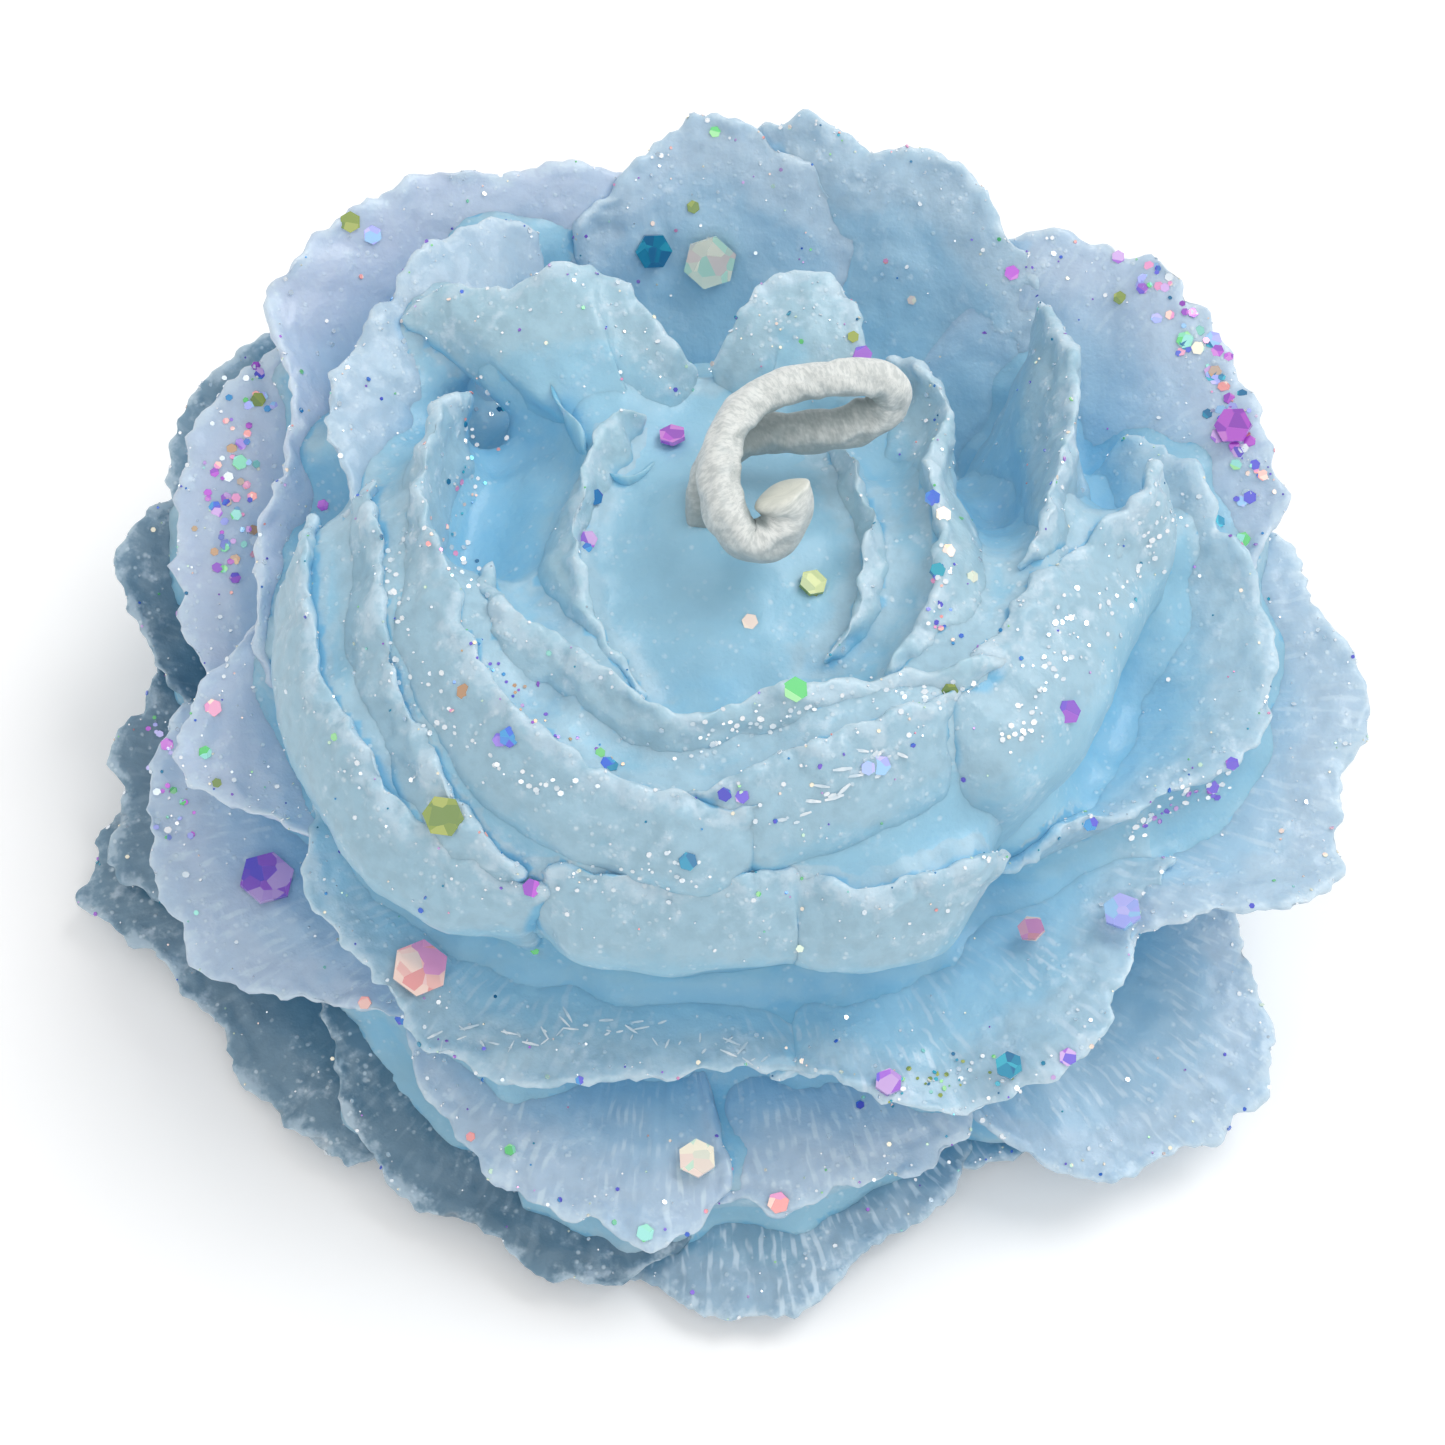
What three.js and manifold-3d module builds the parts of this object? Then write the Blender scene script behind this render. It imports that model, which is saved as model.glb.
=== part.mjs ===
// A poured wax flower candle: a wax body with a curled wick, wrapped in six rings of petals.
// Millimetres, +Z up. The flower stands on its flat base, with the origin under the middle of its box.
import * as THREE from 'three';
import { mergeVertices } from 'three/addons/utils/BufferGeometryUtils.js';
import Module from 'manifold-3d';

const wasm = await Module();
wasm.setup();

// Driving dimensions
const flowerRadius = 40; // flower axis to the rims of the widest petals
const crownHeight = 36; // resting face to the highest petal rims
const clearance = 0.3; // left between pieces that touch
const petalStep = 3.7; // length of one facet along a petal's rim
const footSpreadShare = 0.82; // how wide a petal is at its foot, against its rim
const foldFill = 1.8; // wax that has run down behind the petals in the middle, at half their height
const ledgeDepth = 4.4; // distance below a rim over which the blade thickens inwards to its full ledge

// Blade of each ring of petals: how far its inner and outer faces stand off the middle surface
// at the foot, the thickness at its rim, the rows of facets between the two, and how far the blade
// thickens inwards below its rim, as a ledge that slopes down into the fold
const blades = {
  heart: { inside: 0.9, outside: 0.9, rim: 0.9, rows: 2, ledge: 0 },
  inner: { inside: 1.6, outside: 1.6, rim: 1.0, rows: 4, ledge: 2.4 },
  bud: { inside: 1.7, outside: 1.7, rim: 1.0, rows: 4, ledge: 2.8 },
  guard: { inside: 1.0, outside: 4.2, rim: 1.0, rows: 4, ledge: 0.5 },
  outer: { inside: 0.8, outside: 4.4, rim: 0.9, rows: 3, ledge: 0 },
  base: { inside: 0.7, outside: 3.0, rim: 0.9, rows: 3, ledge: 0 },
};

// Wick and its metal tab
const wick = { width: 2.6, depth: 3.6, start: 1.0, sides: 8, steps: 40 };
const tab = { radius: 10, thickness: 0.4, neckRadius: 3.0, neckHeight: 3.2, coneRadius: 4.6, coneRise: 0.8 };

// Hexagonal glitter flakes
const flake = { thickness: 0.3, large: 3.5, middle: 2.4, small: 1.7 };

// The wax body under the petals, from its resting face up to the collar round the wick.
// Each pair is a share of the flower's radius and a share of the crown's height.
const bodyShares = [
  [0.7, 0.0],
  [0.71, 0.03],
  [0.7, 0.08],
  [0.64, 0.15],
  [0.58, 0.23],
  [0.51, 0.33],
  [0.46, 0.42],
  [0.455, 0.6],
  [0.42, 0.73],
  [0.36, 0.79],
  [0.3, 0.83],
  [0.24, 0.865],
  [0.15, 0.89],
  [0.1, 0.905],
];
const collarShare = 0.925; // top of the small collar of wax round the wick
const collarRim = 1.1; // width of that collar's top

// One row for each petal, from the middle of the flower outwards.
// foot: where the blade starts, as shares of the flower's radius and the crown's height.
// belly: how far the blade swells outwards below and above its middle, as shares of its length.
// filled: whether wax has filled part of the fold behind it.
// rim: azimuth in degrees from +X, then shares of the flower's radius and the crown's height.
const petalShares = [
  {
    name: 'heart_petal_left', ring: 'heart', foot: [0.19, 0.78], belly: [0.1, 0.1],
    rim: [[114, 0.21, 0.91], [126, 0.23, 0.95], [146, 0.21, 0.96], [178, 0.19, 0.96],
      [206, 0.21, 0.95], [234, 0.26, 0.92], [252, 0.3, 0.87]],
  },
  {
    name: 'heart_petal_right', ring: 'heart', foot: [0.23, 0.76], belly: [0.1, 0.1],
    rim: [[-52, 0.27, 0.87], [-35, 0.27, 0.91], [-12, 0.26, 0.93], [12, 0.25, 0.93],
      [30, 0.25, 0.91], [44, 0.24, 0.87]],
  },
  {
    name: 'inner_petal_front', ring: 'inner', foot: [0.3, 0.7], belly: [0.12, 0.12], filled: true,
    rim: [[190, 0.33, 0.9], [206, 0.34, 0.97], [219, 0.33, 0.98], [232, 0.3, 0.97],
      [254, 0.34, 0.97], [268, 0.36, 0.95], [280, 0.33, 0.97], [300, 0.34, 0.97],
      [316, 0.4, 0.96], [328, 0.47, 0.93], [336, 0.51, 0.88]],
  },
  {
    name: 'inner_petal_right', ring: 'inner', foot: [0.33, 0.72], belly: [0.28, 0.3], filled: true,
    rim: [[-46, 0.37, 0.9], [-36, 0.36, 0.93], [-23, 0.35, 0.95], [-3, 0.33, 0.96],
      [16, 0.35, 0.96], [27, 0.41, 0.94], [40, 0.44, 0.91], [51, 0.44, 0.86]],
  },
  {
    name: 'inner_petal_back_right', ring: 'inner', foot: [0.24, 0.76], belly: [0.1, 0.04], filled: true,
    rim: [[46, 0.38, 0.87], [54, 0.4, 0.92], [62, 0.45, 0.95], [70, 0.46, 0.96],
      [78, 0.43, 0.96], [84, 0.36, 0.94], [90, 0.31, 0.89]],
  },
  {
    name: 'inner_petal_back_left', ring: 'inner', foot: [0.24, 0.76], belly: [0.1, 0.04], filled: true,
    rim: [[91, 0.3, 0.89], [97, 0.32, 0.93], [104, 0.41, 0.95], [110, 0.47, 0.96],
      [117, 0.49, 0.96], [126, 0.53, 0.95], [133, 0.6, 0.92], [140, 0.62, 0.88]],
  },
  {
    name: 'bud_petal_front', ring: 'bud', foot: [0.42, 0.5], belly: [0.1, 0.1], filled: true,
    rim: [[262, 0.44, 0.88], [274, 0.46, 0.92], [288, 0.44, 0.95], [298, 0.44, 0.95],
      [314, 0.45, 0.95], [324, 0.47, 0.9]],
  },
  {
    name: 'bud_petal_left', ring: 'bud', foot: [0.4, 0.5], belly: [0.12, 0.12], filled: true,
    rim: [[144, 0.43, 0.9], [152, 0.45, 0.96], [162, 0.45, 0.98], [179, 0.41, 0.98],
      [194, 0.4, 0.98], [207, 0.41, 0.97], [231, 0.43, 0.96], [251, 0.45, 0.95],
      [266, 0.48, 0.93], [276, 0.48, 0.92], [286, 0.47, 0.88]],
  },
  {
    name: 'bud_petal_left_middle', ring: 'bud', foot: [0.43, 0.45], belly: [0.12, 0.12], filled: true,
    rim: [[168, 0.5, 0.88], [177, 0.49, 0.92], [188, 0.49, 0.92], [203, 0.51, 0.9],
      [214, 0.53, 0.89], [227, 0.56, 0.86], [236, 0.58, 0.83], [244, 0.58, 0.78]],
  },
  {
    name: 'bud_petal_right', ring: 'bud', foot: [0.44, 0.4], belly: [0.34, 0.42],
    rim: [[-52, 0.44, 0.86], [-42, 0.44, 0.9], [-31, 0.45, 0.91], [-18, 0.46, 0.91],
      [-6, 0.5, 0.9], [3, 0.58, 0.89], [8, 0.66, 0.88], [13, 0.7, 0.85]],
  },
  {
    name: 'bud_petal_back_right', ring: 'bud', foot: [0.44, 0.42], belly: [0.2, 0.2], filled: true,
    rim: [[-8, 0.47, 0.88], [0, 0.49, 0.92], [8, 0.51, 0.93], [17, 0.56, 0.93],
      [24, 0.61, 0.92], [33, 0.66, 0.89], [43, 0.7, 0.84]],
  },
  {
    name: 'bud_petal_back_left', ring: 'bud', foot: [0.42, 0.46], belly: [0.1, 0.05],
    rim: [[112, 0.68, 0.8], [120, 0.71, 0.86], [128, 0.69, 0.89], [137, 0.67, 0.89],
      [144, 0.64, 0.89], [150, 0.64, 0.89], [157, 0.61, 0.89], [166, 0.57, 0.87],
      [176, 0.55, 0.83], [183, 0.55, 0.78]],
  },
  {
    name: 'bud_petal_left_outer', ring: 'bud', foot: [0.46, 0.38], belly: [0.18, 0.12],
    rim: [[172, 0.59, 0.82], [180, 0.6, 0.86], [190, 0.61, 0.86], [205, 0.6, 0.85],
      [217, 0.61, 0.83], [225, 0.62, 0.82], [236, 0.61, 0.8], [248, 0.59, 0.76]],
  },
  {
    name: 'bud_petal_front_outer', ring: 'bud', foot: [0.46, 0.38], belly: [0.1, 0.08],
    rim: [[240, 0.58, 0.74], [249, 0.57, 0.8], [262, 0.56, 0.81], [278, 0.54, 0.81],
      [285, 0.54, 0.81], [292, 0.59, 0.8], [304, 0.63, 0.78], [313, 0.66, 0.74]],
  },
  {
    name: 'guard_petal_right_inner', ring: 'guard', foot: [0.46, 0.38], belly: [0.02, -0.06],
    rim: [[-42, 0.6, 0.54], [-35, 0.64, 0.58], [-28, 0.69, 0.56], [-21, 0.76, 0.56],
      [-14, 0.84, 0.56], [-7, 0.86, 0.58], [1, 0.85, 0.62], [9, 0.82, 0.67],
      [18, 0.78, 0.7], [27, 0.74, 0.68]],
  },
  {
    name: 'guard_petal_back_middle', ring: 'guard', foot: [0.42, 0.38], belly: [0.12, 0.02],
    rim: [[70, 0.72, 0.72], [76, 0.77, 0.79], [84, 0.81, 0.83], [92, 0.82, 0.85],
      [97, 0.79, 0.82], [102, 0.75, 0.77], [108, 0.71, 0.72]],
  },
  {
    name: 'guard_petal_back_left', ring: 'guard', foot: [0.44, 0.38], belly: [0.12, 0.02],
    rim: [[98, 0.74, 0.74], [104, 0.78, 0.8], [112, 0.8, 0.81], [121, 0.86, 0.83],
      [129, 0.87, 0.82], [137, 0.87, 0.81], [143, 0.85, 0.78], [150, 0.75, 0.78],
      [157, 0.69, 0.77], [163, 0.67, 0.75], [168, 0.69, 0.72], [175, 0.69, 0.69],
      [185, 0.68, 0.61], [192, 0.63, 0.52]],
  },
  {
    name: 'guard_petal_back_right', ring: 'guard', foot: [0.46, 0.36], belly: [0.12, 0.02],
    rim: [[44, 0.77, 0.66], [50, 0.8, 0.71], [56, 0.83, 0.75], [63, 0.86, 0.81],
      [68, 0.84, 0.83], [74, 0.82, 0.83], [80, 0.83, 0.85], [86, 0.8, 0.8],
      [92, 0.77, 0.74]],
  },
  {
    name: 'guard_petal_right_back', ring: 'guard', foot: [0.46, 0.34], belly: [0.08, -0.04],
    rim: [[4, 0.84, 0.54], [10, 0.88, 0.58], [15, 0.94, 0.61], [18, 0.91, 0.64],
      [23, 0.93, 0.67], [29, 0.95, 0.69], [35, 0.94, 0.72], [41, 0.96, 0.75],
      [46, 0.9, 0.74], [51, 0.87, 0.75], [57, 0.81, 0.71], [62, 0.76, 0.66]],
  },
  {
    name: 'guard_petal_left', ring: 'guard', foot: [0.46, 0.36], belly: [-0.04, -0.1],
    rim: [[172, 0.66, 0.56], [180, 0.7, 0.6], [187, 0.79, 0.56], [193, 0.82, 0.53],
      [198, 0.78, 0.5], [206, 0.7, 0.5], [213, 0.64, 0.49], [220, 0.6, 0.46]],
  },
  {
    name: 'guard_petal_front', ring: 'guard', foot: [0.44, 0.3], belly: [-0.14, -0.12],
    rim: [[203, 0.64, 0.48], [210, 0.69, 0.5], [216, 0.73, 0.47], [223, 0.72, 0.44],
      [229, 0.73, 0.41], [234, 0.75, 0.38], [240, 0.74, 0.36], [250, 0.7, 0.38],
      [262, 0.68, 0.39], [274, 0.67, 0.39], [283, 0.68, 0.38], [290, 0.66, 0.35]],
  },
  {
    name: 'guard_petal_front_right', ring: 'guard', foot: [0.44, 0.3], belly: [-0.1, -0.1],
    rim: [[278, 0.66, 0.37], [284, 0.69, 0.41], [289, 0.75, 0.4], [295, 0.8, 0.39],
      [301, 0.84, 0.39], [308, 0.86, 0.41], [314, 0.86, 0.43], [320, 0.83, 0.45],
      [327, 0.8, 0.47], [334, 0.8, 0.46]],
  },
  {
    name: 'guard_petal_right', ring: 'guard', foot: [0.46, 0.3], belly: [-0.04, -0.08],
    rim: [[-38, 0.78, 0.44], [-32, 0.85, 0.48], [-26, 0.97, 0.48], [-20, 1.02, 0.45],
      [-12, 1.0, 0.46], [-5, 1.01, 0.48], [1, 1.0, 0.5], [7, 0.95, 0.52],
      [13, 0.92, 0.55], [20, 0.86, 0.55]],
  },
  {
    name: 'guard_petal_left_back', ring: 'guard', foot: [0.46, 0.3], belly: [0.0, -0.06],
    rim: [[140, 0.8, 0.66], [147, 0.86, 0.66], [153, 0.89, 0.62], [159, 0.89, 0.56],
      [166, 0.86, 0.52], [173, 0.83, 0.48], [180, 0.78, 0.47], [186, 0.74, 0.46]],
  },
  {
    name: 'outer_petal_left', ring: 'outer', foot: [0.5, 0.24], belly: [-0.02, -0.08],
    rim: [[180, 0.8, 0.37], [186, 0.86, 0.36], [191, 0.89, 0.33], [197, 0.9, 0.3],
      [204, 0.9, 0.27], [211, 0.87, 0.25], [217, 0.79, 0.26], [223, 0.74, 0.28],
      [229, 0.7, 0.3], [235, 0.66, 0.3]],
  },
  {
    name: 'outer_petal_front_left', ring: 'outer', foot: [0.5, 0.2], belly: [-0.08, -0.1],
    rim: [[228, 0.68, 0.26], [235, 0.75, 0.25], [241, 0.8, 0.22], [248, 0.82, 0.21],
      [255, 0.85, 0.2], [260, 0.86, 0.2], [264, 0.87, 0.19], [269, 0.83, 0.2],
      [273, 0.76, 0.22]],
  },
  {
    name: 'outer_petal_front', ring: 'outer', foot: [0.5, 0.18], belly: [-0.08, -0.1],
    rim: [[256, 0.66, 0.12], [265, 0.75, 0.14], [276, 0.8, 0.17], [284, 0.81, 0.2],
      [292, 0.81, 0.22], [300, 0.78, 0.24], [306, 0.72, 0.26]],
  },
  {
    name: 'outer_petal_right', ring: 'outer', foot: [0.5, 0.18], belly: [-0.06, -0.08],
    rim: [[300, 0.74, 0.24], [304, 0.82, 0.16], [309, 0.94, 0.12], [315, 0.98, 0.11],
      [321, 1.01, 0.11], [327, 1.03, 0.13], [333, 0.96, 0.17], [339, 0.89, 0.22],
      [346, 0.82, 0.27]],
  },
  {
    name: 'outer_petal_back_left', ring: 'outer', foot: [0.5, 0.22], belly: [0.0, -0.06],
    rim: [[130, 0.82, 0.6], [137, 0.88, 0.62], [143, 0.92, 0.6], [149, 0.97, 0.53],
      [154, 0.95, 0.48], [159, 0.9, 0.43], [165, 0.86, 0.38]],
  },
  {
    name: 'outer_petal_back', ring: 'outer', foot: [0.5, 0.2], belly: [0.0, -0.06],
    rim: [[84, 0.78, 0.42], [92, 0.88, 0.46], [101, 0.93, 0.47], [110, 0.94, 0.48],
      [119, 0.93, 0.49], [127, 0.9, 0.49], [134, 0.84, 0.48]],
  },
  {
    name: 'outer_petal_back_right', ring: 'outer', foot: [0.5, 0.2], belly: [0.0, -0.06],
    rim: [[40, 0.8, 0.42], [48, 0.9, 0.45], [56, 0.93, 0.46], [65, 0.94, 0.45],
      [74, 0.93, 0.45], [82, 0.9, 0.43], [90, 0.82, 0.4]],
  },
  {
    name: 'outer_petal_right_back', ring: 'outer', foot: [0.5, 0.18], belly: [0.0, -0.06],
    rim: [[-4, 0.84, 0.3], [4, 0.9, 0.31], [13, 0.92, 0.32], [22, 0.93, 0.34],
      [31, 0.93, 0.36], [40, 0.9, 0.37], [48, 0.82, 0.38]],
  },
  {
    name: 'base_petal_left_back', ring: 'base', foot: [0.56, 0.12], belly: [0.02, -0.06],
    rim: [[148, 0.86, 0.38], [155, 0.94, 0.38], [162, 0.99, 0.35], [167, 0.97, 0.32],
      [172, 0.9, 0.28], [177, 0.84, 0.25]],
  },
  {
    name: 'base_petal_left_middle', ring: 'base', foot: [0.56, 0.1], belly: [-0.02, -0.06],
    rim: [[164, 0.82, 0.26], [170, 0.89, 0.25], [175, 0.92, 0.22], [179, 0.96, 0.19],
      [184, 0.94, 0.16], [188, 0.96, 0.13], [193, 0.92, 0.12], [199, 0.84, 0.12]],
  },
  {
    name: 'base_petal_front_left', ring: 'base', foot: [0.56, 0.1], belly: [-0.04, -0.06],
    rim: [[212, 0.72, 0.24], [219, 0.76, 0.21], [225, 0.8, 0.15], [231, 0.84, 0.1],
      [237, 0.87, 0.08], [246, 0.86, 0.08], [255, 0.89, 0.08], [263, 0.88, 0.08],
      [269, 0.81, 0.1]],
  },
  {
    name: 'base_petal_front', ring: 'base', foot: [0.58, 0.09], belly: [-0.04, -0.06],
    rim: [[250, 0.72, 0.03], [259, 0.83, 0.03], [268, 0.9, 0.04], [275, 0.94, 0.05],
      [281, 0.91, 0.06], [286, 0.86, 0.07], [293, 0.84, 0.07], [299, 0.81, 0.08],
      [304, 0.74, 0.09]],
  },
  {
    name: 'base_petal_left', ring: 'base', foot: [0.6, 0.08], belly: [-0.04, -0.06],
    rim: [[180, 0.88, 0.1], [186, 0.97, 0.08], [191, 1.01, 0.07], [196, 0.98, 0.06],
      [203, 0.9, 0.05], [212, 0.88, 0.05], [220, 0.88, 0.05], [228, 0.87, 0.05],
      [234, 0.83, 0.05], [240, 0.76, 0.06]],
  },
  {
    name: 'base_petal_front_right', ring: 'base', foot: [0.6, 0.08], belly: [-0.04, -0.04],
    rim: [[292, 0.72, 0.07], [299, 0.78, 0.06], [307, 0.83, 0.06], [314, 0.86, 0.06],
      [322, 0.86, 0.06], [330, 0.8, 0.07]],
  },
  {
    name: 'base_petal_right', ring: 'base', foot: [0.6, 0.08], belly: [-0.02, -0.04],
    rim: [[-30, 0.78, 0.12], [-20, 0.86, 0.14], [-10, 0.9, 0.14], [0, 0.9, 0.13],
      [10, 0.86, 0.12], [18, 0.78, 0.12]],
  },
  {
    name: 'base_petal_back_right', ring: 'base', foot: [0.6, 0.08], belly: [-0.02, -0.04],
    rim: [[12, 0.78, 0.12], [22, 0.88, 0.12], [34, 0.93, 0.11], [46, 0.93, 0.11],
      [56, 0.88, 0.12], [64, 0.78, 0.12]],
  },
  {
    name: 'base_petal_back', ring: 'base', foot: [0.6, 0.08], belly: [-0.02, -0.04],
    rim: [[58, 0.78, 0.12], [68, 0.88, 0.12], [80, 0.93, 0.11], [92, 0.94, 0.11],
      [104, 0.92, 0.12], [114, 0.86, 0.13], [122, 0.76, 0.14]],
  },
  {
    name: 'base_petal_back_left', ring: 'base', foot: [0.58, 0.1], belly: [-0.02, -0.04],
    rim: [[112, 0.78, 0.18], [120, 0.88, 0.2], [130, 0.93, 0.22], [140, 0.95, 0.22],
      [150, 0.93, 0.22], [158, 0.86, 0.22]],
  },
];

// Colour of each ring: the wax is palest at the heart and looks deeper towards the table
const waxColours = {
  body: 0x9fd6ef, heart: 0xa9def3, inner: 0xa6d9f0, bud: 0xa2d5ee,
  guard: 0xabd2e8, outer: 0x9bc0da, base: 0x7fa9c4,
};

const waxRoughness = 0.45;
const wickRoughness = 0.8;
const tabRoughness = 0.35;
const tabMetalness = 0.9;
const flakeRoughness = 0.25;
const flakeMetalness = 0.6;

function finish(colour, roughness, metalness) {
  return new THREE.MeshStandardMaterial({ color: colour, roughness, metalness });
}

function piece(name, geometry, material) {
  const mesh = new THREE.Mesh(geometry, material);
  mesh.name = name;
  return mesh;
}

const { degToRad } = THREE.MathUtils;

function polar(angle, radius, height) {
  return new THREE.Vector3(radius * Math.cos(angle), radius * Math.sin(angle), height);
}

// A solid for joining and cutting, from a closed geometry
function solidOf(geometry) {
  const bare = new THREE.BufferGeometry();
  const source = geometry.index ? geometry.toNonIndexed() : geometry;
  bare.setAttribute('position', source.getAttribute('position'));
  const merged = mergeVertices(bare);
  const { Manifold, Mesh } = wasm;
  return new Manifold(new Mesh({
    numProp: 3,
    vertProperties: merged.getAttribute('position').array,
    triVerts: new Uint32Array(merged.index.array),
  }));
}

// The geometry of the largest connected body that a cut leaves
function largestBody(solid) {
  const { vertProperties, triVerts } = solid.getMesh();
  const owner = Array.from({ length: vertProperties.length / 3 }, (_, vertex) => vertex);
  const find = (vertex) => {
    let top = vertex;
    while (owner[top] !== top) top = owner[top];
    owner[vertex] = top;
    return top;
  };
  for (let i = 0; i < triVerts.length; i += 3) {
    owner[find(triVerts[i + 1])] = find(triVerts[i]);
    owner[find(triVerts[i + 2])] = find(triVerts[i]);
  }
  const corner = (i) => new THREE.Vector3().fromArray(vertProperties, triVerts[i] * 3);
  const bodies = new Map();
  for (let i = 0; i < triVerts.length; i += 3) {
    const top = find(triVerts[i]);
    const body = bodies.get(top) ?? { volume: 0, triangles: [] };
    body.volume += corner(i).dot(corner(i + 1).cross(corner(i + 2)));
    body.triangles.push(triVerts[i], triVerts[i + 1], triVerts[i + 2]);
    bodies.set(top, body);
  }
  const largest = [...bodies.values()].sort((a, b) => b.volume - a.volume)[0];
  const geometry = new THREE.BufferGeometry();
  geometry.setAttribute('position', new THREE.BufferAttribute(Float32Array.from(vertProperties), 3));
  geometry.setIndex(largest.triangles);
  const loose = geometry.toNonIndexed();
  loose.computeVertexNormals();
  return loose;
}

// The middle surface of a petal: u runs along its rim, v from its foot to its rim
function bladeSurface(petal) {
  const rim = new THREE.CatmullRomCurve3(petal.rim.map(([azimuth, radius, height]) => (
    new THREE.Vector3(degToRad(azimuth), radius, height))));
  const middle = degToRad(petal.rim[0][0] + petal.rim[petal.rim.length - 1][0]) / 2;
  const footRadius = petal.foot[0] * flowerRadius;
  const footHeight = petal.foot[1] * crownHeight;
  return (u, v) => {
    const end = rim.getPoint(THREE.MathUtils.clamp(u, 0, 1));
    const blade = new THREE.Vector2(end.y * flowerRadius - footRadius, end.z * crownHeight - footHeight);
    const foot = new THREE.Vector2(footRadius, footHeight);
    const swell = new THREE.Vector2(blade.y, -blade.x);
    const meridian = new THREE.CubicBezierCurve(
      foot,
      foot.clone().addScaledVector(blade, 1 / 3).addScaledVector(swell, petal.belly[0]),
      foot.clone().addScaledVector(blade, 2 / 3).addScaledVector(swell, petal.belly[1]),
      foot.clone().add(blade),
    );
    const at = meridian.getPoint(v);
    const azimuth = middle + (end.x - middle) * THREE.MathUtils.lerp(footSpreadShare, 1, v);
    return polar(azimuth, at.x, at.y);
  };
}

// A closed blade round the middle surface, made larger all round by the margin
function petalGeometry(petal, margin) {
  const surface = bladeSurface(petal);
  const { inside, outside, rim, rows, ledge } = blades[petal.ring];
  const rimEnds = [0, 0.25, 0.5, 0.75, 1].map((u) => surface(u, 1));
  const rimLength = rimEnds.slice(1).reduce((sum, point, i) => sum + point.distanceTo(rimEnds[i]), 0);
  const columns = Math.max(4, Math.round(rimLength / petalStep));
  const bladeHeight = surface(0.5, 0).distanceTo(surface(0.5, 1));
  const ledgeShare = (distance) => Math.min(1, distance / ledgeDepth);
  const sides = [[], []];
  const nudge = 0.01;
  for (let i = 0; i <= columns; i += 1) {
    for (let j = 0; j <= rows; j += 1) {
      const u = i / columns;
      const v = j / rows;
      const u0 = Math.max(0, u - nudge);
      const u1 = Math.min(1, u + nudge);
      const v0 = Math.max(0, v - nudge);
      const v1 = Math.min(1, v + nudge);
      const along = surface(u1, v).sub(surface(u0, v)).normalize();
      const up = surface(u, v1).sub(surface(u, v0)).normalize();
      const out = along.clone().cross(up).normalize();
      const point = surface(u, v);
      if (i === 0) point.addScaledVector(along, -margin);
      if (i === columns) point.addScaledVector(along, margin);
      if (j === 0) point.addScaledVector(up, -margin);
      if (j === rows) point.addScaledVector(up, margin);
      const swell = petal.filled ? foldFill * 4 * v * (1 - v) : 0;
      const outer = THREE.MathUtils.lerp(outside, rim / 2, v) + swell + margin;
      const slope = 1 - (1 - ledgeShare((1 - v) * bladeHeight)) ** 1.5;
      const shelf = ledge * slope * ledgeShare(Math.min(u, 1 - u) * rimLength);
      const inner = THREE.MathUtils.lerp(inside, rim / 2, v) + shelf + margin;
      sides[0].push(point.clone().addScaledVector(out, outer));
      sides[1].push(point.clone().addScaledVector(out, -inner));
    }
  }
  const vertices = [...sides[0], ...sides[1]];
  const back = sides[0].length;
  const at = (i, j) => i * (rows + 1) + j;
  const faces = [];
  const quad = (a, b, c, d) => faces.push(a, b, c, a, c, d);
  for (let i = 0; i < columns; i += 1) {
    for (let j = 0; j < rows; j += 1) {
      quad(at(i, j), at(i + 1, j), at(i + 1, j + 1), at(i, j + 1));
      quad(back + at(i, j), back + at(i, j + 1), back + at(i + 1, j + 1), back + at(i + 1, j));
    }
  }
  for (let i = 0; i < columns; i += 1) {
    quad(at(i, 0), back + at(i, 0), back + at(i + 1, 0), at(i + 1, 0));
    quad(at(i, rows), at(i + 1, rows), back + at(i + 1, rows), back + at(i, rows));
  }
  for (let j = 0; j < rows; j += 1) {
    quad(at(0, j), at(0, j + 1), back + at(0, j + 1), back + at(0, j));
    quad(at(columns, j), back + at(columns, j), back + at(columns, j + 1), at(columns, j + 1));
  }
  const geometry = new THREE.BufferGeometry();
  geometry.setAttribute('position', new THREE.Float32BufferAttribute(
    vertices.flatMap((vertex) => vertex.toArray()), 3));
  geometry.setIndex(faces);
  return geometry;
}

// A ring or disc turned about the flower's axis, from a closed profile of [radius, height]
function turned(profile, segments) {
  const points = profile.map(([radius, height]) => new THREE.Vector2(radius, height));
  points.push(points[0].clone());
  return new THREE.LatheGeometry(points, segments).rotateX(Math.PI / 2);
}

// The wax body, bored for the wick and sunk underneath for the tab
const wickBore = wick.depth / 2 + clearance;
const tabBottom = clearance;
const tabRoof = tabBottom + tab.thickness + clearance;
const bodySegments = 28;

function bodyOutline(margin) {
  return bodyShares.map(([radius, height]) => (
    [radius * flowerRadius + margin, height * crownHeight + (height > 0 ? margin : 0)]));
}

function waxBody() {
  const collarTop = collarShare * crownHeight;
  return turned([
    [tab.radius + clearance, 0],
    ...bodyOutline(0),
    [wickBore + collarRim, collarTop],
    [wickBore, collarTop],
    [wickBore, tabBottom + tab.neckHeight + clearance],
    [tab.neckRadius + clearance, tabBottom + tab.neckHeight + clearance],
    [tab.neckRadius + clearance, tabRoof + tab.coneRise],
    [tab.coneRadius + clearance, tabRoof],
    [tab.radius + clearance, tabRoof],
  ], bodySegments);
}

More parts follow.
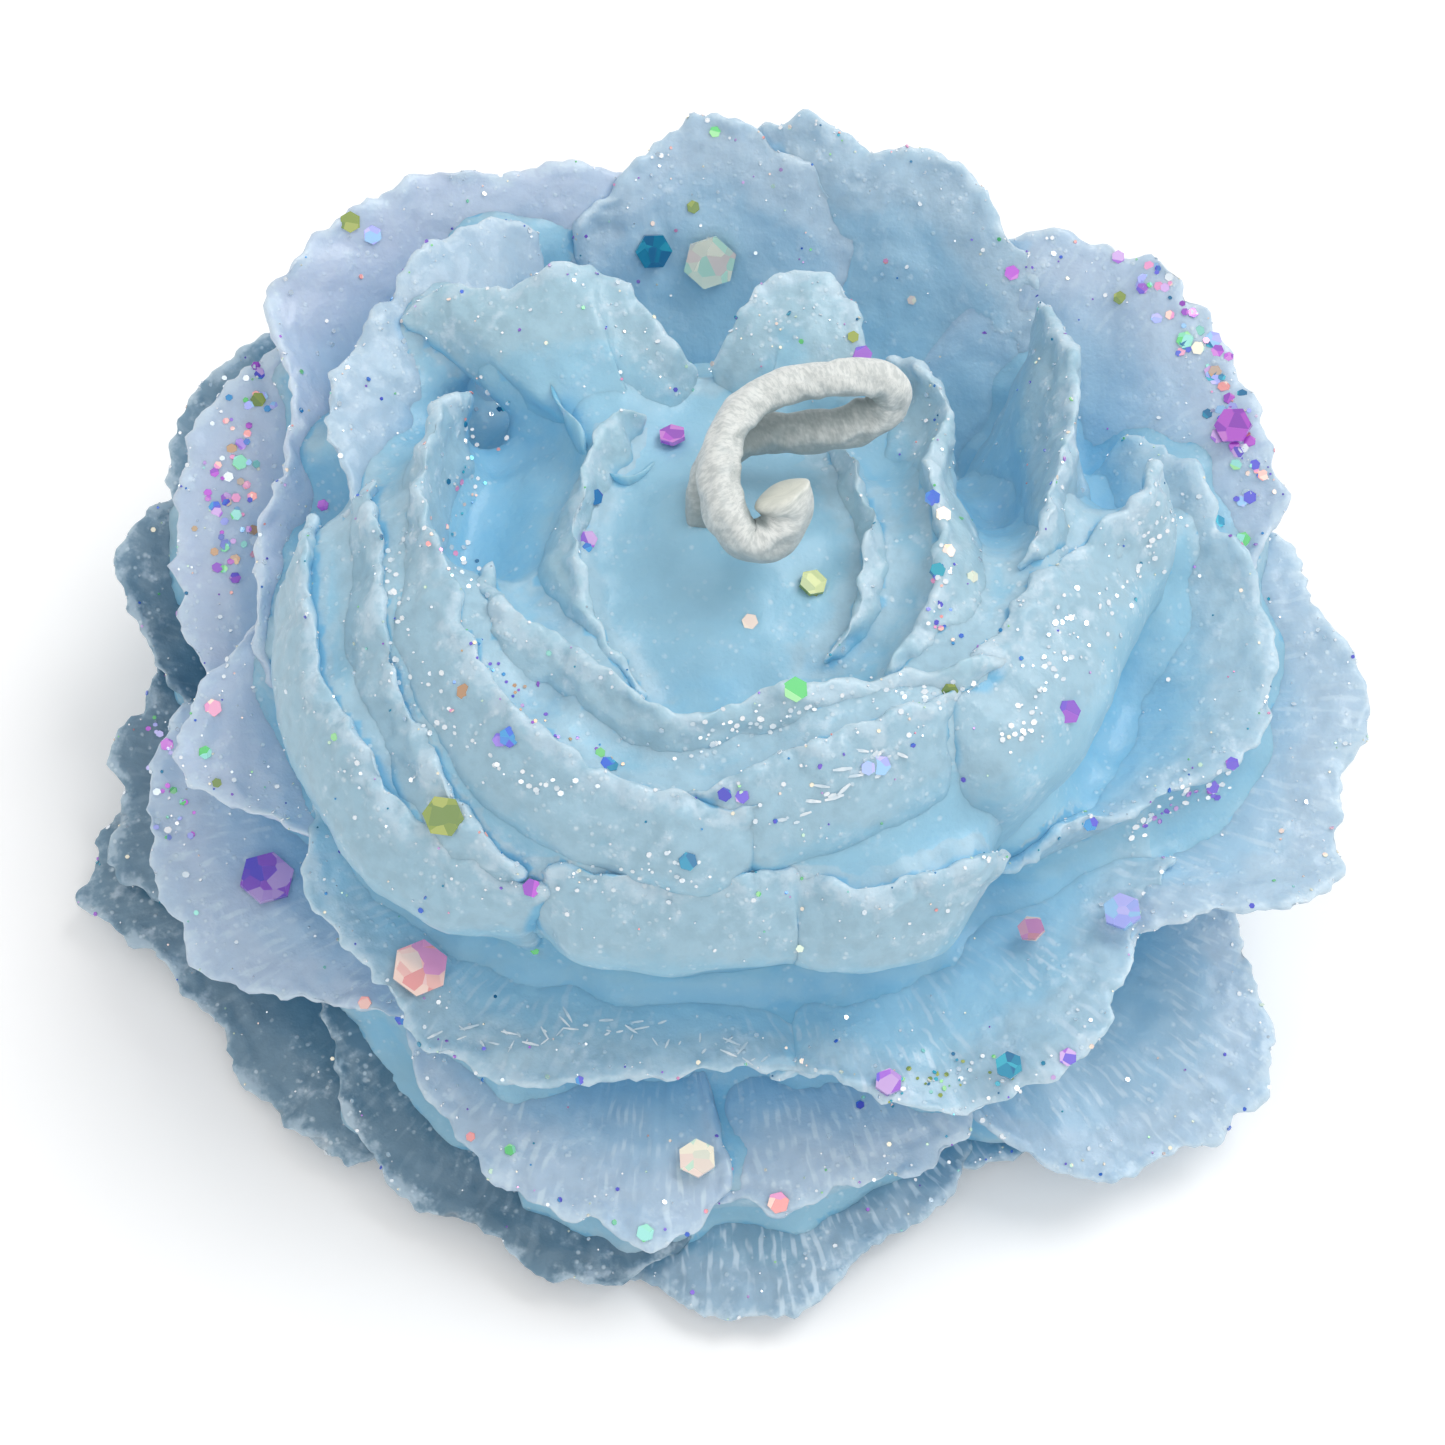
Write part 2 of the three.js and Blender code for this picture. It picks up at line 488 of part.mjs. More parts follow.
function bodyEnvelope() {
  const outline = bodyOutline(clearance);
  const collarTop = collarShare * crownHeight + clearance;
  return turned([
    [0, 0],
    ...outline,
    [wickBore + collarRim + clearance, collarTop],
    [0, collarTop],
  ], bodySegments);
}

// The metal tab: a pressed disc whose middle rises in a cone to the neck that grips the wick
function wickTab() {
  const top = tabBottom + tab.thickness;
  return turned([
    [wickBore, tabBottom],
    [tab.radius, tabBottom],
    [tab.radius, top],
    [tab.coneRadius, top],
    [tab.neckRadius, top + tab.coneRise],
    [tab.neckRadius, tabBottom + tab.neckHeight],
    [wickBore, tabBottom + tab.neckHeight],
  ], bodySegments);
}

// The wick's route from its lower end, up the bore, over the dish and back to its cut end.
// Each point is in shares of the flower's radius, and its height in shares of the crown's height.
const wickShares = [
  [0, 0, 0.5],
  [0, 0, 0.9],
  [0.003, 0.012, 0.945],
  [0.01, 0.045, 0.982],
  [0.036, 0.09, 0.996],
  [0.08, 0.113, 0.993],
  [0.14, 0.12, 0.99],
  [0.214, 0.129, 0.994],
  [0.258, 0.142, 1.011],
  [0.272, 0.153, 1.042],
  [0.255, 0.16, 1.075],
  [0.197, 0.156, 1.086],
  [0.124, 0.141, 1.086],
  [0.065, 0.107, 1.086],
  [0.03, 0.05, 1.083],
  [0.02, -0.018, 1.075],
  [0.034, -0.074, 1.05],
  [0.062, -0.1, 1.03],
  [0.096, -0.09, 1.028],
  [0.118, -0.056, 1.04],
];

function waxedWick() {
  const route = wickShares.map(([x, y, z]) => (
    new THREE.Vector3(x * flowerRadius, y * flowerRadius, z * crownHeight)));
  route.unshift(new THREE.Vector3(0, 0, wick.start));
  const section = new THREE.Shape();
  section.absellipse(0, 0, wick.depth / 2, wick.width / 2, 0, Math.PI * 2);
  return new THREE.ExtrudeGeometry(section, {
    extrudePath: new THREE.CatmullRomCurve3(route),
    steps: wick.steps,
    curveSegments: wick.sides / 2,
    bevelEnabled: false,
  });
}

// Points tried under a flake: twelve round its edge and twelve half way out
const flakeSides = 6;
const flakeSamples = [1, 0.5].flatMap((reach) => (
  Array.from({ length: 2 * flakeSides }, (_, i) => [(180 / flakeSides) * i, reach])));

// Flakes on the petals and on the dish round the wick. On a petal, at gives the shares along its rim
// and out from its foot; on the dish, the azimuth in degrees and the share of the flower's radius.
const flakeShares = [
  {
    name: 'flake_back_white', petal: 'guard_petal_back_middle',
    at: [0.45, 0.55], size: 'large', colour: 0xf4dcdc,
  },
  {
    name: 'flake_back_teal', petal: 'guard_petal_back_middle',
    at: [0.7, 0.65], size: 'middle', colour: 0x1f96b4,
  },
  {
    name: 'flake_right_magenta', petal: 'guard_petal_right_back',
    at: [0.35, 0.93], size: 'middle', colour: 0xb25bd0,
  },
  {
    name: 'flake_left_violet', petal: 'outer_petal_left',
    at: [0.42, 0.6], size: 'large', colour: 0x9a6cc4,
  },
  {
    name: 'flake_front_pink', petal: 'guard_petal_front',
    at: [0.37, 0.8], size: 'large', colour: 0xf2b9b4,
  },
  {
    name: 'flake_front_violet', petal: 'guard_petal_front_right',
    at: [0.26, 0.94], size: 'small', colour: 0x9558c8,
  },
  {
    name: 'flake_front_teal', petal: 'guard_petal_front_right',
    at: [0.49, 0.9], size: 'small', colour: 0x3f8fb8,
  },
  {
    name: 'flake_right_rose', petal: 'guard_petal_front_right',
    at: [0.74, 0.6], size: 'small', colour: 0xe9bfae,
  },
  {
    name: 'flake_right_lilac', petal: 'guard_petal_front_right',
    at: [0.86, 0.9], size: 'middle', colour: 0xa9b4ee,
  },
  {
    name: 'flake_low_white', petal: 'outer_petal_front_left',
    at: [0.9, 0.76], size: 'middle', colour: 0xe6d8e4,
  },
  { name: 'flake_heart_magenta', petal: null, at: [106, 0.18], size: 'small', colour: 0xa65ac8 },
  { name: 'flake_heart_olive', petal: null, at: [330, 0.18], size: 'small', colour: 0x8fa658 },
];

// A flake dropped onto the petals from above: it lies along the facet under its middle,
// raised until all of that petal under it is cleared
function seatedFlake({ name, petal, at, size, colour }, ground) {
  const radius = flake[size] / 2;
  const row = petalShares.find((other) => other.name === petal);
  const centre = row ? bladeSurface(row)(...at) : polar(degToRad(at[0]), at[1] * flowerRadius, 0);
  centre.setZ(2 * crownHeight);
  const drop = (offset) => {
    const ray = new THREE.Raycaster(centre.clone().add(offset), new THREE.Vector3(0, 0, -1));
    return ray.intersectObjects(ground)[0];
  };
  const under = drop(new THREE.Vector3());
  const { normal } = under.face;
  const rises = flakeSamples
    .map(([turn, reach]) => drop(polar(degToRad(turn), reach * radius, 0)))
    .filter((hit) => hit.object === under.object)
    .map((hit) => hit.point.sub(under.point).dot(normal));
  const lift = Math.max(0, ...rises) + clearance + flake.thickness / 2;
  const shape = new THREE.CylinderGeometry(radius, radius, flake.thickness, flakeSides);
  const mesh = piece(name, shape, finish(colour, flakeRoughness, flakeMetalness));
  mesh.quaternion.setFromUnitVectors(new THREE.Vector3(0, 1, 0), normal);
  mesh.position.copy(under.point).addScaledVector(normal, lift);
  return mesh;
}

// Body, petals, flakes, wick and tab
const flower = new THREE.Group();
const body = piece('wax_body', waxBody(), finish(waxColours.body, waxRoughness, 0));
flower.add(body);

const placed = [solidOf(bodyEnvelope())];
const petals = petalShares.map((petal) => {
  let solid = solidOf(petalGeometry(petal, 0));
  placed.forEach((inner) => {
    solid = solid.subtract(inner);
  });
  placed.push(solidOf(petalGeometry(petal, clearance)));
  return piece(petal.name, largestBody(solid), finish(waxColours[petal.ring], waxRoughness, 0));
});
flower.add(...petals);
flower.updateMatrixWorld(true);
flower.add(...flakeShares.map((row) => seatedFlake(row, petals.concat(body))));

flower.add(piece('wick', waxedWick(), finish(0xe9e6dc, wickRoughness, 0)));
flower.add(piece('wick_tab', wickTab(), finish(0xc8cbd0, tabRoughness, tabMetalness)));

// The origin lies under the middle of the box round the whole candle
const box = new THREE.Box3().setFromObject(flower, true);
const middle = box.getCenter(new THREE.Vector3());
flower.position.set(-middle.x, -middle.y, 0);

const candle = new THREE.Group();
candle.add(flower);

export default candle;
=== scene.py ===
# %% [markdown]
# # A low-temperature candle poured as an open flower
# The real candle is one small wax flower, 80 mm across: six rings of thin, broken-edged petals round
# a shallow dish, with a waxed cotton wick curled over it and hexagonal glitter set in the wax.
# The packed CAD model is the frame. Each petal of it is replaced here by a softer one that is laid
# along the same curves, so every piece is where the solids say.

# %% Load the frame
import math
import random

import bpy
import numpy as np
from mathutils import Matrix, Vector, noise
from mathutils.bvhtree import BVHTree
from mathutils.kdtree import KDTree


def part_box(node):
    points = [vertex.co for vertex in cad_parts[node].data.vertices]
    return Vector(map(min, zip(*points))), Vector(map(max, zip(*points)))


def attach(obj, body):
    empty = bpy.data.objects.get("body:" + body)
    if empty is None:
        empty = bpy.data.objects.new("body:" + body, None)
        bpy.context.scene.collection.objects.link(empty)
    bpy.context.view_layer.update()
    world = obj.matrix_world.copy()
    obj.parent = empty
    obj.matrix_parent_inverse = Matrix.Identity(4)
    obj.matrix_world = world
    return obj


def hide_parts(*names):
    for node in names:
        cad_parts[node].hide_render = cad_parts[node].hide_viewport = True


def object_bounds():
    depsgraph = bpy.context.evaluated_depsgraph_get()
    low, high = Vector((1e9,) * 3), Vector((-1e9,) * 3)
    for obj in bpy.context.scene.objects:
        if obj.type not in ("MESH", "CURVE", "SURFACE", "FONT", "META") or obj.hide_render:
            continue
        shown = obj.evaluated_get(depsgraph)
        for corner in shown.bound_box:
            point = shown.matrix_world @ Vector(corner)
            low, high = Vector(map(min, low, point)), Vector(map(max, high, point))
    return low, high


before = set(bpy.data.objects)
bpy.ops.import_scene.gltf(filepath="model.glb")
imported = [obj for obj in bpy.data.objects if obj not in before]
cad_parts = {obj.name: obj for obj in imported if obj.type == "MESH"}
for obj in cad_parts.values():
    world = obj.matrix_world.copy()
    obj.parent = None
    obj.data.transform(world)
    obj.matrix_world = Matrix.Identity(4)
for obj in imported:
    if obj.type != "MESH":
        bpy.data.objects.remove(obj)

MM = 0.001
solid_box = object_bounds()
print("box of the solids, mm:", [round(side / MM, 1) for side in solid_box[1] - solid_box[0]])

# %% [markdown]
# The flower is built round its own axis, which runs down the middle of the wick tab. All its
# heights and radii are shares of two sizes, as in the solids.

# %% Sizes of the flower
FLOWER_RADIUS = 40 * MM
CROWN_HEIGHT = 36 * MM
tab_low, tab_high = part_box("wick_tab")
AXIS = Vector(((tab_low.x + tab_high.x) / 2, (tab_low.y + tab_high.y) / 2, 0))
print("flower axis, mm:", [round(side / MM, 3) for side in AXIS])

# %% [markdown]
# The photograph looks down on the flower from the front, from 58 degrees above the table and from
# about 28 cm away, close enough that the near petals look larger than the far ones. A long lens at
# that distance fills the frame as the photograph does.

# %% Camera
VIEW_HEIGHT = math.radians(58)
VIEW_DISTANCE = 280 * MM
PICTURE_WIDTH = 1445
LENS_PIXELS = 4480
LOOK_AT = AXIS + Vector((1, -2, 14)) * MM
SENSOR_WIDTH = 36
NEAREST = 10 * MM
toward_camera = Vector((0, -math.cos(VIEW_HEIGHT), math.sin(VIEW_HEIGHT)))

bpy.ops.object.camera_add(location=LOOK_AT + VIEW_DISTANCE * toward_camera)
camera = bpy.context.object
camera.name = "photo_camera"
camera.rotation_euler = toward_camera.to_track_quat("Z", "Y").to_euler()
camera.data.sensor_width = SENSOR_WIDTH
camera.data.lens = SENSOR_WIDTH * LENS_PIXELS / PICTURE_WIDTH
camera.data.clip_start = NEAREST
bpy.context.scene.camera = camera
bpy.context.scene.view_settings.view_transform = "Standard"
print("lens, mm:", round(camera.data.lens, 1))


def sight_line(across, down):
    """The direction in which the camera sees a pixel of the photograph"""
    half = PICTURE_WIDTH / 2
    aim = Vector((across - half, half - down, -LENS_PIXELS))
    return (camera.rotation_euler.to_matrix() @ aim).normalized()


# %% [markdown]
# Material graphs are mostly sums. A small class wraps a node's output so that it can be added and
# multiplied like a number; every other node is made by one method that takes its type, its
# settings and its inputs.

# %% A signal that shader nodes can be built from
class Signal:
    """A socket of a material's node tree that can be calculated with"""

    def __init__(self, tree, socket=None):
        self.tree = tree
        self.socket = socket

    def node(self, kind, settings, inputs, output=0):
        """Adds a node and returns its output as a signal"""
        made = self.tree.nodes.new(kind)
        for name, value in settings.items():
            setattr(made, name, value)
        for name, value in inputs.items():
            feed(made.inputs[name], value)
        return Signal(self.tree, made.outputs[output])

    def maths(self, operation, *values):
        return self.node("ShaderNodeMath", {"operation": operation}, dict(enumerate(values)))

    def __add__(self, other):
        return self.maths("ADD", self, other)

    def __sub__(self, other):
        return self.maths("SUBTRACT", self, other)

    def __mul__(self, other):
        return self.maths("MULTIPLY", self, other)

    def step(self, low, high):
        """0 below low, 1 above high and smooth between; turned round where high is the lower"""
        return self.node("ShaderNodeMapRange", {"interpolation_type": "SMOOTHSTEP"}, {
            "Value": self, "From Min": low, "From Max": high})

    def blend(self, low, high):
        """Colour low where this signal is 0, and high where it is 1"""
        return self.node("ShaderNodeMix", {"data_type": "RGBA"}, {0: self, 6: low, 7: high}, 2)

    def part(self, axis):
        """The X, Y or Z part of this place, or the red, green or blue one of this colour"""
        return self.node("ShaderNodeSeparateXYZ", {}, {0: self}, axis)

    def at(self, x, y, z):
        """The place that has these three parts"""
        return self.node("ShaderNodeCombineXYZ", {}, {0: x, 1: y, 2: z})

    def attribute(self, title):
        """The number that the mesh stores under a title"""
        return self.node("ShaderNodeAttribute", {"attribute_name": title}, {}, 2)

    def clouds(self, size, detail=2, rough=0.5):
        """Soft blobs about as wide as size, from 0 to 1, at this place"""
        return self.node("ShaderNodeTexNoise", {}, {
            "Vector": self, "Scale": 1 / size, "Detail": detail, "Roughness": rough})

    def cells(self, size, output=0):
        """Facets about as wide as size at this place: how far their middle is, or their own colour"""
        return self.node("ShaderNodeTexVoronoi", {"feature": "F1"}, {
            "Vector": self, "Scale": 1 / size}, output)

    def bump(self, strength, distance):
        """The normal of a surface that has this signal as its fine relief"""
        return self.node("ShaderNodeBump", {}, {"Strength": strength, "Distance": distance, "Height": self})


def feed(socket, value):
    """Gives a socket a signal or a plain value"""
    if isinstance(value, Signal):
        value.tree.links.new(value.socket, socket)
    else:
        socket.default_value = value


def connect(shader, signals):
    """Gives a shader's inputs their signals"""
    for name, signal in signals.items():
        feed(shader.inputs[name], signal)


print("signals can be made with:", [name for name in vars(Signal) if name[0] != "_"])

# %% [markdown]
# Colours were judged on a screen, and shaders work in linear light, so every colour goes through
# one conversion. Each material here starts the same way, from one Principled shader and the place
# of a point on its piece, and only what varies differs.

# %% Colours and new materials
def tint(red, green, blue):
    """A colour as read on a screen, from 0 to 255, in the linear light that shaders use"""
    screen = [part / 255 for part in (red, green, blue)]
    linear = [part / 12.92 if part < 0.04 else ((part + 0.055) / 1.055) ** 2.4 for part in screen]
    return (*linear, 1)


def shade(colour, share):
    """The same colour, darker"""
    return (*(share * part for part in colour[:3]), 1)


def grey(light):
    return (light, light, light, 1)


def new_material(name, shader_settings):
    """A material with one Principled shader, its plain settings made, and the place of a point"""
    material = bpy.data.materials.new(name)
    material.use_nodes = True
    shader = material.node_tree.nodes["Principled BSDF"]
    for socket, value in shader_settings.items():
        shader.inputs[socket].default_value = value
    return material, shader, Signal(material.node_tree).node("ShaderNodeTexCoord", {}, {}, 3)


print("middle grey of a screen in linear light:", round(tint(128, 128, 128)[0], 3))

# %% [markdown]
# The flower stands on a plain white table. The table is a white surface that the lamps bring just
# to white, so it keeps the soft shadow under the petals; far away it meets a white surround.

# %% Table and surround
TABLE_HALF = 3.0
TABLE_GLOW = 0.1
SURROUND = 0.68

bpy.ops.mesh.primitive_plane_add(size=2 * TABLE_HALF)
table_top = bpy.context.object
table_top.name = "table_top"
table_white, shader, place = new_material("table_white", {"Roughness": 0.9, "Emission Strength": 1.0})
table_seen = place.node("ShaderNodeLightPath", {}, {})
connect(shader, {"Base Color": place.clouds(4 * MM).blend(grey(0.96), grey(0.98)),
                 "Emission Color": table_seen.blend(grey(0), grey(TABLE_GLOW))})
table_top.data.materials.append(table_white)

world = bpy.data.worlds.new("studio")
bpy.context.scene.world = world
world.use_nodes = True
sky = Signal(world.node_tree)
ray_kinds = sky.node("ShaderNodeLightPath", {}, {}).socket.node.outputs
direct, glossy, through = (Signal(sky.tree, ray_kinds["Is " + kind + " Ray"])
                           for kind in ("Camera", "Glossy", "Transmission"))
seen = sky.maths("MAXIMUM", direct, sky.maths("MAXIMUM", glossy, through))
connect(world.node_tree.nodes["Background"], {"Color": grey(1), "Strength": seen * (1 - SURROUND) + SURROUND})
print("table, mm:", round(2 * TABLE_HALF / MM), "and surround:", world.name)

# %% [markdown]
# The photograph's light is soft: a wide window at the right and a little behind, whose shadows fall
# to the left and toward the camera, and the room's light from the front. Two wide lamps far away do
# the same at any size of the part.

# %% Lamps
def add_sun(name, power, softness, azimuth, height):
    """A soft white lamp from far away; azimuth is counted from the right, height above the table"""
    turn, rise = math.radians(azimuth), math.radians(height)
    source = Vector((math.cos(turn) * math.cos(rise), math.sin(turn) * math.cos(rise), math.sin(rise)))
    bpy.ops.object.light_add(type="SUN", rotation=source.to_track_quat("Z", "Y").to_euler())
    lamp = bpy.context.object
    lamp.name = name
    lamp.data.energy = power
    lamp.data.angle = math.radians(softness)


add_sun("window_light", power=1.2, softness=35, azimuth=30, height=52)
add_sun("room_light", power=0.45, softness=60, azimuth=-90, height=50)

# %% [markdown]
# Forty-two petals are too many to draw one by one with a mouse, so each is one row of a table, the
# same rows as in the solids: where the petal starts, how far it swells, and the points that its rim
# runs through (azimuth in degrees, then shares of the radius and the height). All shares are in
# hundredths, and a petal's ring is the first word of its name.

# %% Petal rows
PETAL_ROWS = [
    ("heart_petal_left", (19, 78), (10, 10), [
        (114, 21, 91), (126, 23, 95), (146, 21, 96), (178, 19, 96), (206, 21, 95), (234, 26, 92),
        (252, 30, 87)]),
    ("heart_petal_right", (23, 76), (10, 10), [
        (-52, 27, 87), (-35, 27, 91), (-12, 26, 93), (12, 25, 93), (30, 25, 91), (44, 24, 87)]),
    ("inner_petal_front", (30, 70), (12, 12), [
        (190, 33, 90), (206, 34, 97), (219, 33, 98), (232, 30, 97), (254, 34, 97), (268, 36, 95),
        (280, 33, 97), (300, 34, 97), (316, 40, 96), (328, 47, 93), (336, 51, 88)]),
    ("inner_petal_right", (33, 72), (28, 30), [
        (-46, 37, 90), (-36, 36, 93), (-23, 35, 95), (-3, 33, 96), (16, 35, 96), (27, 41, 94),
        (40, 44, 91), (51, 44, 86)]),
    ("inner_petal_back_right", (24, 76), (10, 4), [
        (46, 38, 87), (54, 40, 92), (62, 45, 95), (70, 46, 96), (78, 43, 96), (84, 36, 94),
        (90, 31, 89)]),
    ("inner_petal_back_left", (24, 76), (10, 4), [
        (91, 30, 89), (97, 32, 93), (104, 41, 95), (110, 47, 96), (117, 49, 96), (126, 53, 95),
        (133, 60, 92), (140, 62, 88)]),
    ("bud_petal_front", (42, 50), (10, 10), [
        (262, 44, 88), (274, 46, 92), (288, 44, 95), (298, 44, 95), (314, 45, 95), (324, 47, 90)]),
    ("bud_petal_left", (40, 50), (12, 12), [
        (144, 43, 90), (152, 45, 96), (162, 45, 98), (179, 41, 98), (194, 40, 98), (207, 41, 97),
        (231, 43, 96), (251, 45, 95), (266, 48, 93), (276, 48, 92), (286, 47, 88)]),
    ("bud_petal_left_middle", (43, 45), (12, 12), [
        (168, 50, 88), (177, 49, 92), (188, 49, 92), (203, 51, 90), (214, 53, 89), (227, 56, 86),
        (236, 58, 83), (244, 58, 78)]),
    ("bud_petal_right", (44, 40), (34, 42), [
        (-52, 44, 86), (-42, 44, 90), (-31, 45, 91), (-18, 46, 91), (-6, 50, 90), (3, 58, 89),
        (8, 66, 88), (13, 70, 85)]),
    ("bud_petal_back_right", (44, 42), (20, 20), [
        (-8, 47, 88), (0, 49, 92), (8, 51, 93), (17, 56, 93), (24, 61, 92), (33, 66, 89),
        (43, 70, 84)]),
    ("bud_petal_back_left", (42, 46), (10, 5), [
        (112, 68, 80), (120, 71, 86), (128, 69, 89), (137, 67, 89), (144, 64, 89), (150, 64, 89),
        (157, 61, 89), (166, 57, 87), (176, 55, 83), (183, 55, 78)]),
    ("bud_petal_left_outer", (46, 38), (18, 12), [
        (172, 59, 82), (180, 60, 86), (190, 61, 86), (205, 60, 85), (217, 61, 83), (225, 62, 82),
        (236, 61, 80), (248, 59, 76)]),
    ("bud_petal_front_outer", (46, 38), (10, 8), [
        (240, 58, 74), (249, 57, 80), (262, 56, 81), (278, 54, 81), (285, 54, 81), (292, 59, 80),
        (304, 63, 78), (313, 66, 74)]),
    ("guard_petal_right_inner", (46, 38), (2, -6), [
        (-42, 60, 54), (-35, 64, 58), (-28, 69, 56), (-21, 76, 56), (-14, 84, 56), (-7, 86, 58),
        (1, 85, 62), (9, 82, 67), (18, 78, 70), (27, 74, 68)]),
    ("guard_petal_back_middle", (42, 38), (12, 2), [
        (70, 72, 72), (76, 77, 79), (84, 81, 83), (92, 82, 85), (97, 79, 82), (102, 75, 77),
        (108, 71, 72)]),
    ("guard_petal_back_left", (44, 38), (12, 2), [
        (98, 74, 74), (104, 78, 80), (112, 80, 81), (121, 86, 83), (129, 87, 82), (137, 87, 81),
        (143, 85, 78), (150, 75, 78), (157, 69, 77), (163, 67, 75), (168, 69, 72), (175, 69, 69),
        (185, 68, 61), (192, 63, 52)]),
    ("guard_petal_back_right", (46, 36), (12, 2), [
        (44, 77, 66), (50, 80, 71), (56, 83, 75), (63, 86, 81), (68, 84, 83), (74, 82, 83),
        (80, 83, 85), (86, 80, 80), (92, 77, 74)]),
    ("guard_petal_right_back", (46, 34), (8, -4), [
        (4, 84, 54), (10, 88, 58), (15, 94, 61), (18, 91, 64), (23, 93, 67), (29, 95, 69),
        (35, 94, 72), (41, 96, 75), (46, 90, 74), (51, 87, 75), (57, 81, 71), (62, 76, 66)]),
    ("guard_petal_left", (46, 36), (-4, -10), [
        (172, 66, 56), (180, 70, 60), (187, 79, 56), (193, 82, 53), (198, 78, 50), (206, 70, 50),
        (213, 64, 49), (220, 60, 46)]),
    ("guard_petal_front", (44, 30), (-14, -12), [
        (203, 64, 48), (210, 69, 50), (216, 73, 47), (223, 72, 44), (229, 73, 41), (234, 75, 38),
        (240, 74, 36), (250, 70, 38), (262, 68, 39), (274, 67, 39), (283, 68, 38), (290, 66, 35)]),
    ("guard_petal_front_right", (44, 30), (-10, -10), [
        (278, 66, 37), (284, 69, 41), (289, 75, 40), (295, 80, 39), (301, 84, 39), (308, 86, 41),
        (314, 86, 43), (320, 83, 45), (327, 80, 47), (334, 80, 46)]),
    ("guard_petal_right", (46, 30), (-4, -8), [
        (-38, 78, 44), (-32, 85, 48), (-26, 97, 48), (-20, 102, 45), (-12, 100, 46), (-5, 101, 48),
        (1, 100, 50), (7, 95, 52), (13, 92, 55), (20, 86, 55)]),
    ("guard_petal_left_back", (46, 30), (0, -6), [
        (140, 80, 66), (147, 86, 66), (153, 89, 62), (159, 89, 56), (166, 86, 52), (173, 83, 48),
        (180, 78, 47), (186, 74, 46)]),
    ("outer_petal_left", (50, 24), (-2, -8), [
        (180, 80, 37), (186, 86, 36), (191, 89, 33), (197, 90, 30), (204, 90, 27), (211, 87, 25),
        (217, 79, 26), (223, 74, 28), (229, 70, 30), (235, 66, 30)]),
    ("outer_petal_front_left", (50, 20), (-8, -10), [
        (228, 68, 26), (235, 75, 25), (241, 80, 22), (248, 82, 21), (255, 85, 20), (260, 86, 20),
        (264, 87, 19), (269, 83, 20), (273, 76, 22)]),
    ("outer_petal_front", (50, 18), (-8, -10), [
        (256, 66, 12), (265, 75, 14), (276, 80, 17), (284, 81, 20), (292, 81, 22), (300, 78, 24),
        (306, 72, 26)]),
    ("outer_petal_right", (50, 18), (-6, -8), [
        (300, 74, 24), (304, 82, 16), (309, 94, 12), (315, 98, 11), (321, 101, 11), (327, 103, 13),
        (333, 96, 17), (339, 89, 22), (346, 82, 27)]),
    ("outer_petal_back_left", (50, 22), (0, -6), [
        (130, 82, 60), (137, 88, 62), (143, 92, 60), (149, 97, 53), (154, 95, 48), (159, 90, 43),
        (165, 86, 38)]),
    ("outer_petal_back", (50, 20), (0, -6), [
        (84, 78, 42), (92, 88, 46), (101, 93, 47), (110, 94, 48), (119, 93, 49), (127, 90, 49),
        (134, 84, 48)]),
    ("outer_petal_back_right", (50, 20), (0, -6), [
        (40, 80, 42), (48, 90, 45), (56, 93, 46), (65, 94, 45), (74, 93, 45), (82, 90, 43),
        (90, 82, 40)]),
    ("outer_petal_right_back", (50, 18), (0, -6), [
        (-4, 84, 30), (4, 90, 31), (13, 92, 32), (22, 93, 34), (31, 93, 36), (40, 90, 37),
        (48, 82, 38)]),
    ("base_petal_left_back", (56, 12), (2, -6), [
        (148, 86, 38), (155, 94, 38), (162, 99, 35), (167, 97, 32), (172, 90, 28), (177, 84, 25)]),
    ("base_petal_left_middle", (56, 10), (-2, -6), [
        (164, 82, 26), (170, 89, 25), (175, 92, 22), (179, 96, 19), (184, 94, 16), (188, 96, 13),
        (193, 92, 12), (199, 84, 12)]),
    ("base_petal_front_left", (56, 10), (-4, -6), [
        (212, 72, 24), (219, 76, 21), (225, 80, 15), (231, 84, 10), (237, 87, 8), (246, 86, 8),
        (255, 89, 8), (263, 88, 8), (269, 81, 10)]),
    ("base_petal_front", (58, 9), (-4, -6), [
        (250, 72, 3), (259, 83, 3), (268, 90, 4), (275, 94, 5), (281, 91, 6), (286, 86, 7),
        (293, 84, 7), (299, 81, 8), (304, 74, 9)]),
    ("base_petal_left", (60, 8), (-4, -6), [
        (180, 88, 10), (186, 97, 8), (191, 101, 7), (196, 98, 6), (203, 90, 5), (212, 88, 5),
        (220, 88, 5), (228, 87, 5), (234, 83, 5), (240, 76, 6)]),
    ("base_petal_front_right", (60, 8), (-4, -4), [
        (292, 72, 7), (299, 78, 6), (307, 83, 6), (314, 86, 6), (322, 86, 6), (330, 80, 7)]),
    ("base_petal_right", (60, 8), (-2, -4), [
        (-30, 78, 12), (-20, 86, 14), (-10, 90, 14), (0, 90, 13), (10, 86, 12), (18, 78, 12)]),
    ("base_petal_back_right", (60, 8), (-2, -4), [
        (12, 78, 12), (22, 88, 12), (34, 93, 11), (46, 93, 11), (56, 88, 12), (64, 78, 12)]),
    ("base_petal_back", (60, 8), (-2, -4), [
        (58, 78, 12), (68, 88, 12), (80, 93, 11), (92, 94, 11), (104, 92, 12), (114, 86, 13),
        (122, 76, 14)]),
    ("base_petal_back_left", (58, 10), (-2, -4), [
        (112, 78, 18), (120, 88, 20), (130, 93, 22), (140, 95, 22), (150, 93, 22), (158, 86, 22)]),
]
PETALS = [(name, name.split("_")[0], [share / 100 for share in foot], [share / 100 for share in belly],
           [(turn, out / 100, up / 100) for turn, out, up in rim])
          for name, foot, belly, rim in PETAL_ROWS]

